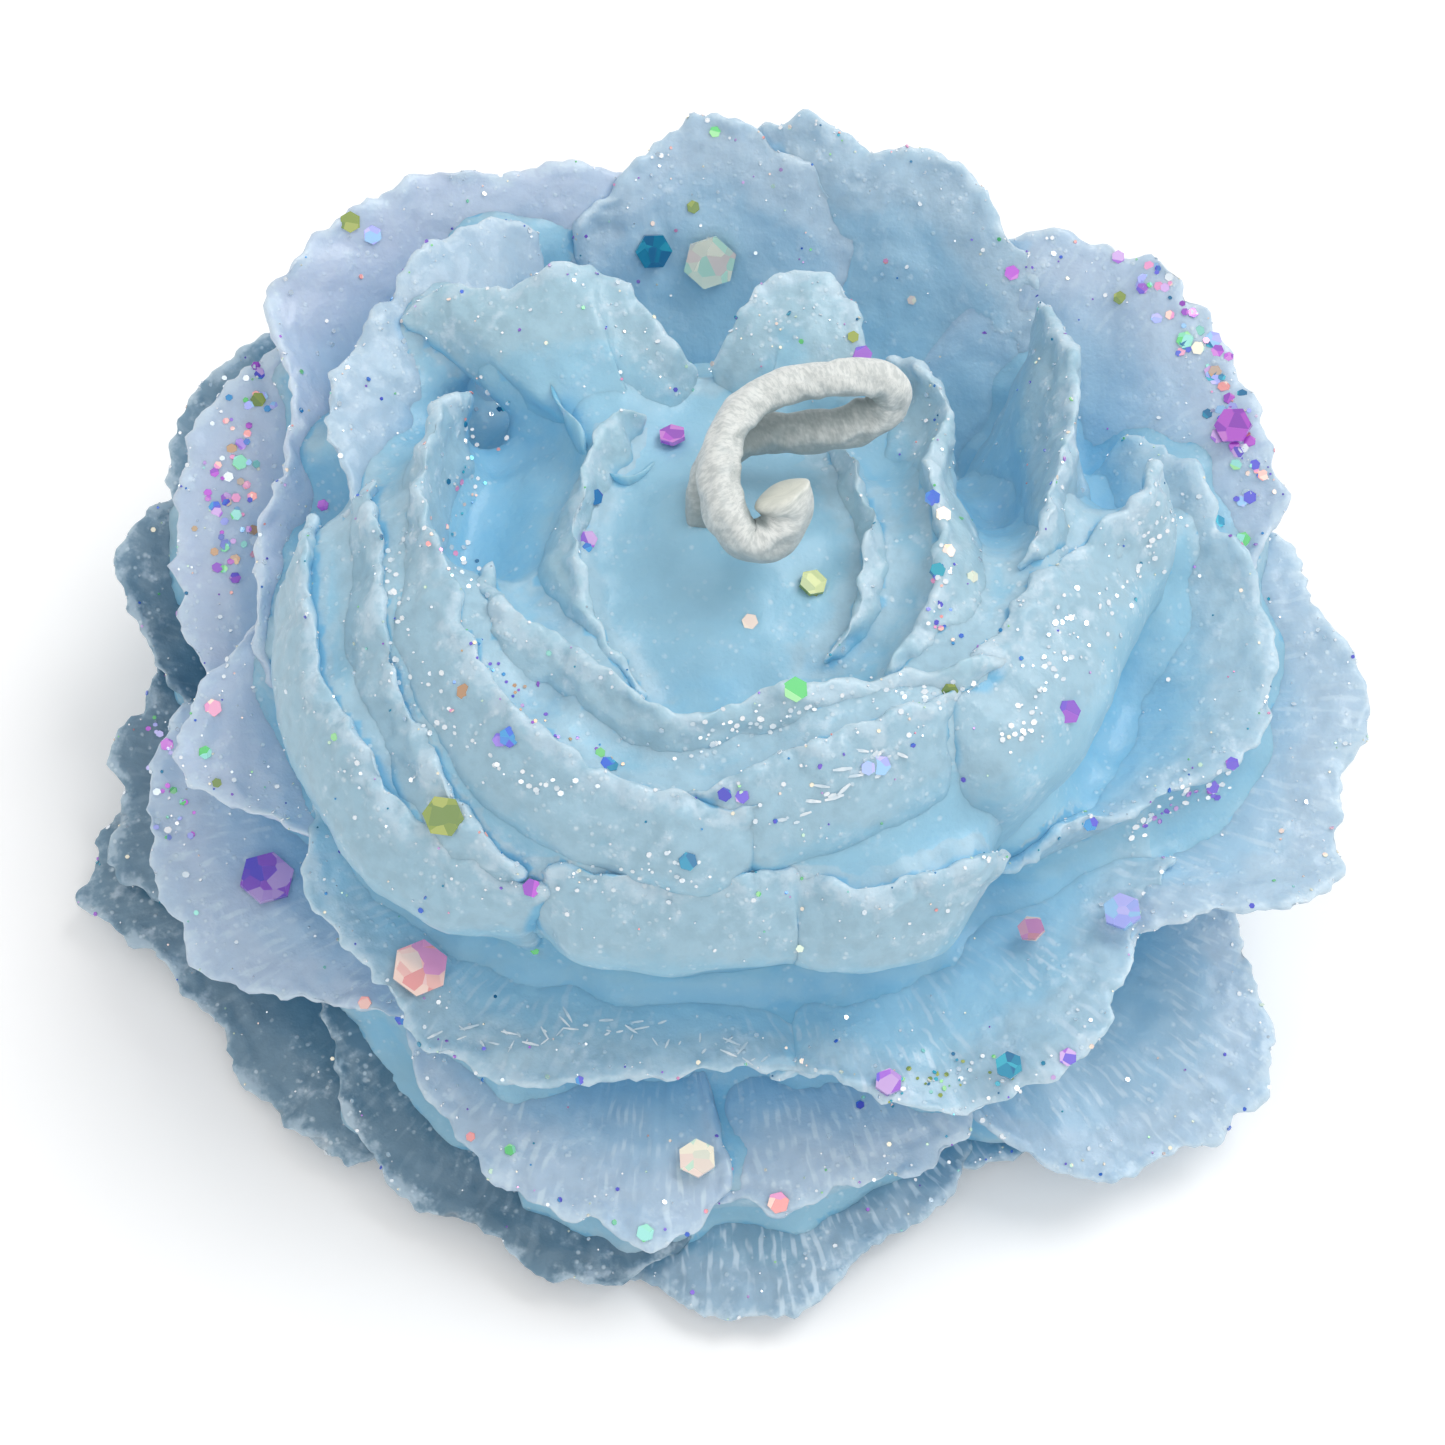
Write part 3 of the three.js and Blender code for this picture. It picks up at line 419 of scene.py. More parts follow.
# Stand-off of the inner and outer face from the middle sheet at its foot, and thickness of the rim
BLADES = {
    "heart": (0.9 * MM, 0.9 * MM, 0.7 * MM),
    "inner": (1.6 * MM, 1.6 * MM, 0.8 * MM),
    "bud": (1.7 * MM, 1.7 * MM, 0.8 * MM),
    "guard": (1.0 * MM, 4.2 * MM, 0.7 * MM),
    "outer": (0.8 * MM, 4.4 * MM, 0.65 * MM),
    "base": (0.7 * MM, 3.0 * MM, 0.65 * MM),
}
# How much of the rim's turn round the axis the foot already has
FOOT_SPREAD = 0.82
print("petals:", len(PETALS))

# %% [markdown]
# A petal is a sheet bent two ways. Along its rim it follows a smooth curve through the row's
# points; from foot to rim it follows a short Bezier arc. The two curves below are the ones the
# solids use, so the new petal lies on the old one.

# %% The curves of a petal
def smooth_curve(points, share):
    """The place at a share of the way along a smooth curve through some points"""
    points = [2 * points[0] - points[1], *points, 2 * points[-1] - points[-2]]
    place = share * (len(points) - 3)
    first = min(int(place), len(points) - 4)
    along = place - first
    before, start, end, after = points[first:first + 4]
    gap0, gap1, gap2 = ((b - a).length ** 0.5 for a, b in ((before, start), (start, end), (end, after)))
    leave = ((start - before) / gap0 - (end - before) / (gap0 + gap1) + (end - start) / gap1) * gap1
    arrive = ((end - start) / gap1 - (after - start) / (gap1 + gap2) + (after - end) / gap2) * gap1
    bend = 2 * start - 2 * end + leave + arrive
    sweep = -3 * start + 3 * end - 2 * leave - arrive
    return start + along * (leave + along * (sweep + along * bend))


def rim_end(rim, share):
    """The azimuth, radius share and height share at a share of the way along a rim"""
    return smooth_curve([Vector((math.radians(turn), out, up)) for turn, out, up in rim], share)


def blade_point(foot, belly, middle, end, rise):
    """A point of the blade's middle sheet, at a share of the way from its foot to a rim end"""
    base = Vector((foot[0] * FLOWER_RADIUS, foot[1] * CROWN_HEIGHT))
    reach = Vector((end.y * FLOWER_RADIUS, end.z * CROWN_HEIGHT)) - base
    swell = Vector((reach.y, -reach.x))
    lower = base + reach / 3 + swell * belly[0]
    upper = base + reach * 2 / 3 + swell * belly[1]
    fall = 1 - rise
    spot = (base * fall ** 3 + lower * 3 * fall ** 2 * rise
            + upper * 3 * fall * rise ** 2 + (base + reach) * rise ** 3)
    turn = middle + (end.x - middle) * (FOOT_SPREAD + (1 - FOOT_SPREAD) * rise)
    return AXIS + Vector((spot.x * math.cos(turn), spot.x * math.sin(turn), spot.y))


_, _, foot, belly, rim = PETALS[0]
first_point = blade_point(foot, belly, 0, rim_end(rim, 0), 1)
print("first rim point of the first petal, mm:", [round(side / MM, 1) for side in first_point])

# %% [markdown]
# Every soft piece starts as a flat grid or a skin whose points are then laid where they belong, and
# carries numbers on its points for the materials. The few steps that do this are the same each
# time, so they are written once.

# %% Meshes and their points
def new_grid(name, columns, rows):
    """A flat grid whose points are laid elsewhere next"""
    bpy.ops.mesh.primitive_grid_add(x_subdivisions=columns, y_subdivisions=rows, size=1)
    grid = bpy.context.object
    grid.name = grid.data.name = name
    return grid


def new_piece(name, points, faces):
    """A piece made straight from points and faces"""
    mesh = bpy.data.meshes.new(name)
    mesh.from_pydata(points.tolist(), [], faces)
    piece = bpy.data.objects.new(name, mesh)
    bpy.context.collection.objects.link(piece)
    return piece


def pick(piece):
    """Makes one piece the active one and the only one that is selected"""
    bpy.ops.object.select_all(action="DESELECT")
    bpy.context.view_layer.objects.active = piece
    piece.select_set(True)


def close_seams(reach):
    """Joins the points of the active mesh that meet, and turns its faces outward"""
    bpy.ops.object.mode_set(mode="EDIT")
    bpy.ops.mesh.select_all(action="SELECT")
    bpy.ops.mesh.remove_doubles(threshold=reach)
    bpy.ops.mesh.select_all(action="SELECT")
    bpy.ops.mesh.normals_make_consistent(inside=False)
    bpy.ops.object.mode_set(mode="OBJECT")


def points_of(mesh, kind="co"):
    """The places of a mesh's points, or their normals"""
    values = np.empty(len(mesh.vertices) * 3)
    mesh.vertices.foreach_get(kind, values)
    return values.reshape(-1, 3)


def lay(mesh, places):
    """Moves the points of a mesh to new places"""
    mesh.vertices.foreach_set("co", np.asarray(places).ravel())
    mesh.update()


def give(mesh, name, values):
    """Stores one number for each point of a mesh"""
    layer = mesh.attributes.new(name, "FLOAT", "POINT")
    layer.data.foreach_set("value", np.asarray(values, dtype=np.float32))


def values_of(mesh, name):
    """The numbers that a mesh stores under a name"""
    numbers = np.empty(len(mesh.vertices))
    mesh.attributes[name].data.foreach_get("value", numbers)
    return numbers


print("points of the tab's solid:", len(points_of(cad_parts["wick_tab"].data)))

# %% [markdown]
# Poured wax petals are torn from their mould, so no rim is smooth. Each petal starts as a sheet on
# its two curves, with its rows closer together toward the rim, where the detail is. Notches
# lengthen and shorten it at the rim, as wax breaks: large bites with smaller ones in them.

# %% Torn sheets
CELL = 1.3 * MM
ROWS = {"heart": 5, "inner": 10, "bud": 12, "guard": 13, "outer": 12, "base": 10}
ROW_CROWDING = 1.35
RIM_SAMPLES = 24
LEAST_COLUMNS = 8
NOTCH = 1.1 * MM
# Size of the bites in a rim, the layer of noise that they are taken from, and their share
BITES = [(5.5 * MM, 0.3, 0.55), (2.4 * MM, 4.1, 0.8), (1.2 * MM, 8.7, 0.55)]


def fray(place, seed):
    """Broken-edge noise along a rim, from about -1 to 1, from a place in metres"""
    return sum(share * noise.noise((place / size, seed, layer)) for size, layer, share in BITES)


def torn_sheet(ring, foot, belly, rim, seed):
    """A petal's middle sheet as a grid of points, its reach from foot to rim, and for each point
    the way along the rim, the share risen, the azimuth, and the way to the nearer side"""
    middle = math.radians(rim[0][0] + rim[-1][0]) / 2
    rough = [blade_point(foot, belly, middle, rim_end(rim, i / RIM_SAMPLES), 1)
             for i in range(RIM_SAMPLES + 1)]
    rim_length = sum((b - a).length for a, b in zip(rough, rough[1:]))
    columns, rows = max(LEAST_COLUMNS, round(rim_length / CELL)), ROWS[ring]
    ends = [rim_end(rim, i / columns) for i in range(columns + 1)]
    low, high = (blade_point(foot, belly, middle, ends[columns // 2], rise) for rise in (0, 1))
    reach = (high - low).length
    points, where = [], []
    for j in range(rows + 1):
        rise = 1 - (1 - j / rows) ** ROW_CROWDING
        for i, end in enumerate(ends):
            along = i / columns * rim_length
            torn = 1 + rise ** 3 * NOTCH * fray(along, seed) / reach
            points.append(blade_point(foot, belly, middle, end, rise * torn))
            where.append((along, rise, end.x, min(i / columns, 1 - i / columns) * rim_length))
    return np.array(points).reshape(rows + 1, columns + 1, 3), reach, np.array(where).T


print("notches along a rim:", [round(fray(step * 3 * MM, 0.5), 2) for step in range(5)])

# %% [markdown]
# At the rim of the petals round the dish the wax is broad and frosted, like a shoulder, and it
# hangs over the fold below. It is on the side that the photograph shows: the outer side of the
# petals in front, where it thins out again toward the foot, and the inner side of those behind.

# %% Shoulders under the rims
SHELF = {"heart": 2.8 * MM, "inner": 2.6 * MM, "bud": 3.0 * MM,
         "guard": 0.6 * MM, "outer": 0.2 * MM, "base": 0}
SHELF_DEPTH = 4.4 * MM
FRONT_STEEPNESS = 1.2


def shoulders(ring, depths, sides, azimuths):
    """How far the shoulder stands out on the inner and the outer side, for each point's depth
    below the rim, way to the nearer side and azimuth"""
    rounding = 1 - np.clip(1 - depths / SHELF_DEPTH, 0, 1) ** 1.5
    shelf = SHELF[ring] * rounding * np.clip(sides / SHELF_DEPTH, 0, 1)
    front = np.clip(0.5 - FRONT_STEEPNESS * np.sin(azimuths), 0, 1)
    return shelf * (1 - front), shelf * front * (1 - np.clip(depths / SHELF_DEPTH - 1.1, 0, 1))


print("widest shoulder, mm:", round(max(SHELF.values()) / MM, 1))

# %% [markdown]
# No two petals were poured quite alike. The low-left petals get a painted shadow, a dark teal laid
# over the wax where they lie in shade; at the back and the left the wax took a lilac cast, which on the
# front outer petals also serves as painted light that lifts them out of shade; and the mould's veins
# show only on the petals that lie open. These tables give each petal's share of all three.

# %% Where the wax differs
# Share of painted shadow on each petal: a dark teal laid on where the low petals lie in shade
SHADOWED_PETALS = {"base_petal_left": 0.9, "base_petal_left_middle": 0.8, "base_petal_left_back": 0.85,
        "base_petal_front_left": 1.0, "outer_petal_back_left": 0.7, "base_petal_back_left": 0.6,
        "base_petal_back": 0.4, "base_petal_back_right": 0.3, "base_petal_front": 0.15}
# Share of lilac cast; on the front outer petals it is also painted light that lifts them out of shade
LILAC_AND_LIFT = {"guard_petal_back_left": 1.0, "guard_petal_left_back": 1.0, "guard_petal_left": 1.0,
         "outer_petal_left": 0.75, "guard_petal_right_back": 0.7, "guard_petal_right": 0.4,
         "guard_petal_back_middle": 0.4, "guard_petal_back_right": 0.25,
         "outer_petal_front_left": 0.5, "outer_petal_right": 0.3, "outer_petal_front": 0.5,
         "bud_petal_back_left": 0.5}
VEINS = {"outer_petal_front_left": 1.0, "outer_petal_front": 0.8, "base_petal_front": 1.0,
         "outer_petal_left": 0.8, "base_petal_front_right": 0.8, "outer_petal_right": 0.7,
         "guard_petal_front_right": 0.6, "guard_petal_right": 0.5, "guard_petal_front": 0.4,
         "guard_petal_right_back": 0.35, "outer_petal_back": 0.6, "outer_petal_back_right": 0.6,
         "base_petal_back": 0.8, "base_petal_right": 0.8, "base_petal_back_right": 0.8}
FAINT_VEINS = 0.15
print("murky, lilac and veined petals:", len(SHADOWED_PETALS), len(LILAC_AND_LIFT), len(VEINS))

# %% [markdown]
# The sheet gets its body as a sculptor would lay clay on a wire net: it is ruffled toward the rim,
# the wall at every point is painted as a vertex group, and a Solidify modifier makes the thick foot
# and the thin, uneven rim from it. What the material needs to know is stored on the points.

# %% Petal cages
RUFFLE = 0.9 * MM
RIM_SHARE = 0.6
SIDE_STRETCH, SIDE_BAND = 2.4, 1.2 * MM
PETAL_SEED, PETAL_APART = 10.0, 7.0
CAGE_FLOOR = 0.05 * MM


def ruffle(along, upward, seed):
    """Waves that run up a petal, from about -1 to 1, from a place on it in metres"""
    wide = noise.noise((along / (7 * MM), upward / (14 * MM), seed + 3))
    return wide + 0.5 * noise.noise((along / (3.2 * MM), upward / (9 * MM), seed + 6))


def thicken(petal, walls):
    """Gives a sheet its walls"""
    paint = petal.vertex_groups.new(name="wall")
    for point, wall in enumerate(walls):
        paint.add([point], wall / walls.max(), "REPLACE")
    solid = petal.modifiers.new("wall", "SOLIDIFY")
    solid.thickness = walls.max()
    solid.offset = 1
    solid.vertex_group = "wall"
    bpy.ops.object.modifier_apply(modifier=solid.name)


def petal_cage(number, name, ring, foot, belly, rim):
    seed = PETAL_SEED * number + 0.5
    sheet, reach, (alongs, rises, azimuths, sides) = torn_sheet(ring, foot, belly, rim, seed)
    petal = new_grid(name + "_wax", sheet.shape[1] - 1, sheet.shape[0] - 1)
    out = np.cross(np.gradient(sheet, axis=1), np.gradient(sheet, axis=0))
    out = (out / np.linalg.norm(out, axis=2, keepdims=True)).reshape(-1, 3)

    inside, outside, edge = BLADES[ring]
    edge *= RIM_SHARE
    depths = (1 - rises) * reach
    inner_shelf, outer_shelf = shoulders(ring, depths, sides, azimuths)
    ruffles = np.array([ruffle(along, rise * reach, seed) for along, rise in zip(alongs, rises)])
    stand = -(inside + (edge / 2 - inside) * rises) - inner_shelf + RUFFLE * ruffles * rises ** 2
    lay(petal.data, sheet.reshape(-1, 3) + out * stand[:, None])

    uneven = np.array([0.85 + 0.75 * noise.noise((along / (4 * MM), rise * 3, seed + 9))
                       for along, rise in zip(alongs, rises)])
    walls = (inside + outside) * (1 - rises) + edge * uneven * rises + inner_shelf + outer_shelf
    stored = {"from_rim": np.minimum(depths, SIDE_STRETCH * sides + SIDE_BAND) / MM,
              "painted_shadow": [SHADOWED_PETALS.get(name, 0)] * len(walls),
              "lilac": [LILAC_AND_LIFT.get(name, 0)] * len(walls),
              "veins": [VEINS.get(name, FAINT_VEINS)] * len(walls),
              "along": alongs / MM + PETAL_APART * number,
              "upward": rises * reach / MM}
    for title, values in stored.items():
        give(petal.data, title, values)
    thicken(petal, walls)
    places = points_of(petal.data)
    places[:, 2] = np.maximum(places[:, 2], CAGE_FLOOR)
    lay(petal.data, places)
    return petal


petals = [petal_cage(number, *row) for number, row in enumerate(PETALS)]
print("cage faces:", sum(len(petal.data.polygons) for petal in petals))

# %% [markdown]
# Where petals crowd together the wax is painted deeper and bluer, a painted shade of the folds, and
# paler where they stand open. Rays sent out from every point of the cages measure that openness once,
# and it is kept as an attribute that the wax material reads.

# %% Openness of every point
SKY_RAYS = 28
SKY_REACH = 14 * MM
RAY_START = 0.25 * MM
GOLDEN = math.pi * (3 - math.sqrt(5))
sky_rays = []
for i in range(SKY_RAYS):
    up = (i + 0.5) / SKY_RAYS
    out = math.sqrt(1 - up * up)
    sky_rays.append(Vector((out * math.cos(i * GOLDEN), out * math.sin(i * GOLDEN), up)))


def surface_tree(pieces):
    """All the faces of some pieces, for rays to be cast at"""
    corners, faces = [], []
    for piece in pieces:
        start = len(corners)
        corners.extend(point.co.copy() for point in piece.data.vertices)
        faces.extend([start + i for i in face.vertices] for face in piece.data.polygons)
    return BVHTree.FromPolygons(corners, faces)


def openness(mesh, tree):
    """For each point of a mesh, the share of rays that leave it freely"""
    shares = []
    for point in mesh.vertices:
        turn = point.normal.to_track_quat("Z", "Y")
        start = point.co + point.normal * RAY_START
        free = sum(tree.ray_cast(start, turn @ ray, SKY_REACH)[0] is None for ray in sky_rays)
        shares.append(free / SKY_RAYS)
    return shares


cages = surface_tree(petals)
for petal in petals:
    give(petal.data, "openness", openness(petal.data, cages))
print("openness measured on", len(petals), "petals")

# %% [markdown]
# Subdivision rounds the cages. The finished surface is then worked over as a carver would: soft
# lumps as wide as a fingertip's dent, a fine grain, ribs where the mould's veins show, and near the
# rim crumbs and small tears, both out to the side and up and down.

# %% Rounding and fine carving
LUMP, GRAIN, RIB, CRUMB, TEAR = 0.2 * MM, 0.08 * MM, 0.13 * MM, 0.26 * MM, 0.5 * MM
CRUMB_REACH, TEAR_REACH = 2.5, 1.0


def lumps(place):
    """Soft lumps with a fine grain on them, in metres, at a place in metres"""
    lump = noise.noise(place / (3.4 * MM)) + 0.6 * noise.noise(place / (1.7 * MM))
    return LUMP * lump + GRAIN * noise.noise(place / (0.8 * MM))


def carve(petal):
    pick(petal)
    round_off = petal.modifiers.new("round", "SUBSURF")
    round_off.levels = round_off.render_levels = 2
    bpy.ops.object.modifier_apply(modifier=round_off.name)
    bpy.ops.object.shade_smooth()
    mesh = petal.data
    places, normals = points_of(mesh), points_of(mesh, "normal")
    stored = [values_of(mesh, title) for title in ("along", "upward", "from_rim", "veins")]
    heights, tears = [], []
    for place, along, upward, depth, veined in zip(places, *stored):
        rib = noise.noise((along / 0.8, upward / 6, 0.4)) * veined
        crumb = noise.noise(place / (0.95 * MM)) + 0.7 * abs(noise.noise(place / (2.3 * MM)))
        heights.append(lumps(place) + RIB * rib + CRUMB * crumb * math.exp(-depth / CRUMB_REACH))
        frayed = noise.noise(place / (1.8 * MM)) + 0.5 * noise.noise(place / (0.8 * MM))
        notched = noise.noise(place / (1.5 * MM) + 9)
        side = (Vector(place) - AXIS).xy.normalized() * frayed
        tears.append(Vector((*side, notched)) * TEAR * math.exp(-depth / TEAR_REACH))
    places += normals * np.array(heights)[:, None] + np.array(tears)
    places[:, 2] = np.maximum(places[:, 2], 0)
    lay(mesh, places)
    petal.vertex_groups.clear()


for petal in petals:
    carve(petal)
print("petal triangles:", 2 * sum(len(petal.data.polygons) for petal in petals))

# %% [markdown]
# The wax of the whole flower is one material, made in seven tones: the core's and one for each ring,
# paler in the crown and darker toward the table, where the low rings' darker tones are painted shade.
# Poured wax is frosted at the rims and full of crystals and small bubbles, and it is painted a deeper
# azure in the folds as shade; veins stand out pale on the petals that lie open. Each of these is one
# layer of colour, laid on where a noise, the way to the rim and the openness agree.

# %% Wax
WAX_SETTINGS = {"Subsurface Weight": 0.35, "Subsurface Radius": (1.0, 1.0, 1.0), "IOR": 1.44,
                "Subsurface Scale": 1.0 * MM, "Coat Weight": 0.25, "Coat Roughness": 0.18}
VEIN_GAP = 0.95


def vein_lines(place, from_rim, cloud):
    """Broken ridges that run up a petal, faded out away from its rim"""
    along = place.attribute("along") + (place.clouds(3 * MM, 2) - 0.5) * 1.2
    upward = place.attribute("upward")
    dashes = place.at(along * (1 / 0.8), upward * (1 / 1.5), 0).clouds(1, 1)
    ridges = place.maths("SINE", along * (2 * math.pi / VEIN_GAP)).step(-0.4, 0.7)
    return ridges * dashes.step(0.45, 0.62) * from_rim.step(13, 4) * cloud.step(0.38, 0.55)


def wax(name, face, fold_shade, pale, ribs=0.0, frost=0.62):
    """Translucent poured wax: face colour, painted deeper in the folds as shade, paler and frosted at the
    rims
    """
    face, fold_shade, pale = tint(*face), tint(*fold_shade), tint(*pale)
    material, shader, place = new_material(name, WAX_SETTINGS)
    from_rim, open_here = place.attribute("from_rim"), place.attribute("openness")
    cloud, fine = place.clouds(5 * MM, 3), place.clouds(0.9 * MM, 3)
    wisp, dust = place.clouds(2.2 * MM, 4, 0.65), place.clouds(0.35 * MM, 2)

    colour = cloud.step(0.35, 0.65).blend(face, shade(face, 0.9))
    # Frosted band below the rim, kept off the closed folds so that their painted shade shows there
    band = (from_rim + (cloud - 0.5) * 5.0 + (wisp - 0.5) * 4.0).step(4.8, 2.8) * open_here.step(0.1, 0.4)
    colour = (band * 0.8).blend(colour, fine.step(0.3, 0.62).blend(shade(pale, 0.88), pale))
    # Painted shade: where few rays leave the wax, its colour turns to the darker fold shade
    folds = (open_here + (cloud - 0.5) * 0.3).step(0.62, 0.3)
    colour = folds.blend(colour, fold_shade)
    # Lilac cast, and on the front outer petals also a painted lift of light
    lilac = place.attribute("lilac") * from_rim.step(14, 3) * (cloud * 0.6 + 0.4)
    colour = lilac.blend(colour, tint(196, 206, 228))
    # Painted shadow: a dark teal over the low-left petals, which lie in shade
    painted_shadow = place.attribute("painted_shadow") * (cloud * 0.9 + 0.55)
    colour = (painted_shadow * 0.75).blend(colour, tint(74, 112, 134))

    lip = (from_rim + (fine - 0.5) * 3.0).step(0.9, 0.1) * wisp.step(0.38, 0.55)
    near = from_rim.step(9.0, 1.0) * 0.75 + 0.25
    # White frost only on open wax, so it stays off the painted shade of the folds
    whites = wisp.step(0.5, 0.68) * fine.step(0.4, 0.7) * near * open_here.step(0.25, 0.7)
    crystals = place.cells(0.62 * MM).step(0.3, 0.12) * wisp.step(0.45, 0.6) * near
    bubbles = (place.cells(1.3 * MM) + (fine - 0.5) * 0.2).step(0.18, 0.04) * wisp.step(0.42, 0.55)
    for spots, share, white in ((lip, 0.5, tint(210, 228, 240)), (whites, frost, tint(216, 230, 241)),
                                (crystals, 0.55, tint(222, 236, 245)), (bubbles, 0.45, tint(224, 238, 246))):
        colour = (spots * share).blend(colour, white)
    if ribs:
        veins = vein_lines(place, from_rim, cloud) * ribs * place.attribute("veins")
        colour = veins.blend(colour, tint(204, 222, 234))
    relief = fine * 0.6 + dust * 0.5 + whites * 0.5 + crystals * 0.6
    connect(shader, {"Base Color": colour, "Roughness": cloud * 0.16 + 0.34 + whites * 0.2,
                     "Normal": relief.bump(0.6, 0.13 * MM)})
    return material


# Each ring's tones: face, painted fold shade, pale rim frost, then vein and frost strength where given
WAX_TONES = {
    "body": ((154, 203, 226), (128, 190, 222), (172, 204, 220), 0, 0.5),
    "heart": ((156, 204, 226), (128, 192, 223), (172, 204, 217)),
    "inner": ((156, 204, 226), (120, 186, 220), (171, 202, 216)),
    "bud": ((152, 200, 223), (118, 183, 217), (165, 197, 213)),
    "guard": ((160, 204, 226), (156, 205, 229), (174, 203, 219), 1.0),
    "outer": ((150, 194, 218), (126, 184, 215), (168, 197, 216), 0.8),
    # The base ring's darker tones are painted shade of the low petals near the table
    "base": ((140, 182, 206), (106, 158, 188), (160, 187, 207), 0.7),
}
WAXES = {ring: wax("wax_" + ring, *tones) for ring, tones in WAX_TONES.items()}
for petal, row in zip(petals, PETALS):
    petal.data.materials.append(WAXES[row[1]])
    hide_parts(row[0])
    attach(petal, "root")
    "wax_" + row[1]
print("wax finishes:", len(WAXES))

# %% [markdown]
# The petals of a poured candle aren't loose leaves: wax has run between them, so most folds are only
# a few millimetres deep. The wax in the middle is made first, from its profile: the shallow dish
# that the wick rises from, and the flat underside with the seat of the wick tab. It only lives
# until its cells are counted, so it takes no finish.

# %% Dish in the middle
BODY = [(0.71, 0.03), (0.7, 0.08), (0.64, 0.15), (0.58, 0.23), (0.51, 0.33), (0.46, 0.42),
        (0.455, 0.6), (0.42, 0.73), (0.36, 0.79), (0.3, 0.83), (0.24, 0.865), (0.15, 0.89),
        (0.1, 0.905), (0.0725, 0.925), (0.0, 0.925)]
UNDERSIDE = [(28.0, 0.0), (10.3, 0.0), (10.3, 1.0), (4.9, 1.0), (3.3, 1.8), (3.3, 3.8), (0.0, 3.8)]
TURNS, PROFILE_STEPS = 96, 4

corners = [(out * FLOWER_RADIUS, up * CROWN_HEIGHT) for out, up in BODY[::-1]]
profile = []
for (r0, z0), (r1, z1) in zip(corners, corners[1:]):
    profile += [(r0 + (r1 - r0) * k / PROFILE_STEPS, z0 + (z1 - z0) * k / PROFILE_STEPS)
                for k in range(PROFILE_STEPS)]
profile += [corners[-1]] + [(out * MM, up * MM) for out, up in UNDERSIDE]
dish = new_grid("dish", TURNS, len(profile) - 1)
places = []
for radius, height in profile:
    for turn in range(TURNS + 1):
        angle = 2 * math.pi * turn / TURNS
        places.append(AXIS + Vector((radius * math.cos(angle), radius * math.sin(angle), height)))
lay(dish.data, np.array(places))
close_seams(0.01 * MM)
print("dish faces:", len(dish.data.polygons))

# %% [markdown]
# The core is rounded off the way a mould maker closes a pattern's undercuts. The petals and the
# dish are read into small cells by upright rays, which count how many walls they have entered and
# left. Grown and shrunk again, the cells keep every gap full that is narrower than twice the growth.

# %% Cells of wax
CELL_SIZE = 0.6 * MM
MARGIN = 8
RAY_STEP = 0.001 * MM
grid_low = solid_box[0] - Vector((1, 1, 0)) * MARGIN * CELL_SIZE
counts = [int((solid_box[1][axis] - solid_box[0][axis]) / CELL_SIZE) + 2 * MARGIN for axis in range(3)]


def wax_cells(pieces):
    """The cells whose middles lie inside any of the pieces, found with upright rays"""
    tree = surface_tree(pieces)
    cells = np.zeros(counts, bool)
    up = Vector((0, 0, 1))
    for i in range(counts[0]):
        for j in range(counts[1]):
            start = grid_low + Vector((i + 0.5, j + 0.5, -2)) * CELL_SIZE
            depth, entered = 0, 0
            while True:
                spot, normal, *_ = tree.ray_cast(start, up)
                if spot is None:
                    break
                if normal.z < 0:
                    entered = spot.z if depth == 0 else entered
                    depth += 1
                else:
                    depth -= 1
                    if depth == 0:
                        first, last = (math.ceil(z / CELL_SIZE - 0.5) for z in (entered, spot.z))
                        cells[i, j, max(first, 0):last] = True
                start = spot + up * RAY_STEP
    return cells


def grow(cells, reach):
    """The cells within a reach of any full cell"""
    steps = int(reach / CELL_SIZE) + 1
    grown = np.zeros_like(cells)
    for i in range(-steps, steps + 1):
        for j in range(-steps, steps + 1):
            for k in range(-steps, steps + 1):
                if math.hypot(i, j, k) * CELL_SIZE <= reach:
                    grown |= np.roll(cells, (i, j, k), (0, 1, 2))
    return grown


def above_table(cells, below):
    """The same cells with empty room above, and below them empty room or the lowest layer again"""
    room = np.pad(cells, ((0, 0), (0, 0), (MARGIN, MARGIN)))
    room[:, :, :MARGIN] = cells[:, :, :1] & below
    return room


dish_cells = wax_cells([dish])
cells = above_table(wax_cells(petals) | dish_cells, True)
bpy.data.objects.remove(dish)
print("cells of wax:", int(cells.sum()))

# %% [markdown]
# Between the crown's petals the folds are narrow and still open, and lower down nearly all are
# full. So the crown is closed less than the rest. Both shrink a little more than they grew, which
# keeps the core just below the petals' own faces, and the dish keeps its full shape.

# %% Two zones of the core
GROWN, SHRUNK = 2.3 * MM, 2.7 * MM
CROWN_GROWN, CROWN_SHRUNK = 2.0 * MM, 2.3 * MM
CROWN_EDGE = (0.52 * FLOWER_RADIUS, 0.62 * CROWN_HEIGHT)
core_cells = ~grow(~grow(cells, GROWN), SHRUNK)
crown_cells = ~grow(~grow(cells, CROWN_GROWN), CROWN_SHRUNK)
middles = [grid_low[axis] + (np.arange(counts[axis]) + 0.5) * CELL_SIZE for axis in range(2)]
heights = grid_low.z + (np.arange(counts[2] + 2 * MARGIN) - MARGIN + 0.5) * CELL_SIZE
off_axis = np.hypot(*np.meshgrid(middles[0] - AXIS.x, middles[1] - AXIS.y, indexing="ij"))
crown = (off_axis < CROWN_EDGE[0])[:, :, None] & (heights > CROWN_EDGE[1])[None, None, :]
core_cells = np.where(crown, crown_cells, core_cells)
core_cells[:, :, :MARGIN] = False
core_cells |= above_table(dish_cells, False)
print("cells of core:", int(core_cells.sum()))

# %% [markdown]
# A skin is stretched over the cells: one point in every cube that the surface passes through, at
# the middle of the places where it cuts the cube's edges, and one face across every edge that it
# cuts. The cells are blurred first, so the skin is smooth and not stepped.

# %% Skin round the cells
BLURS = 2
TABLE_SNAP = 0.25 * MM


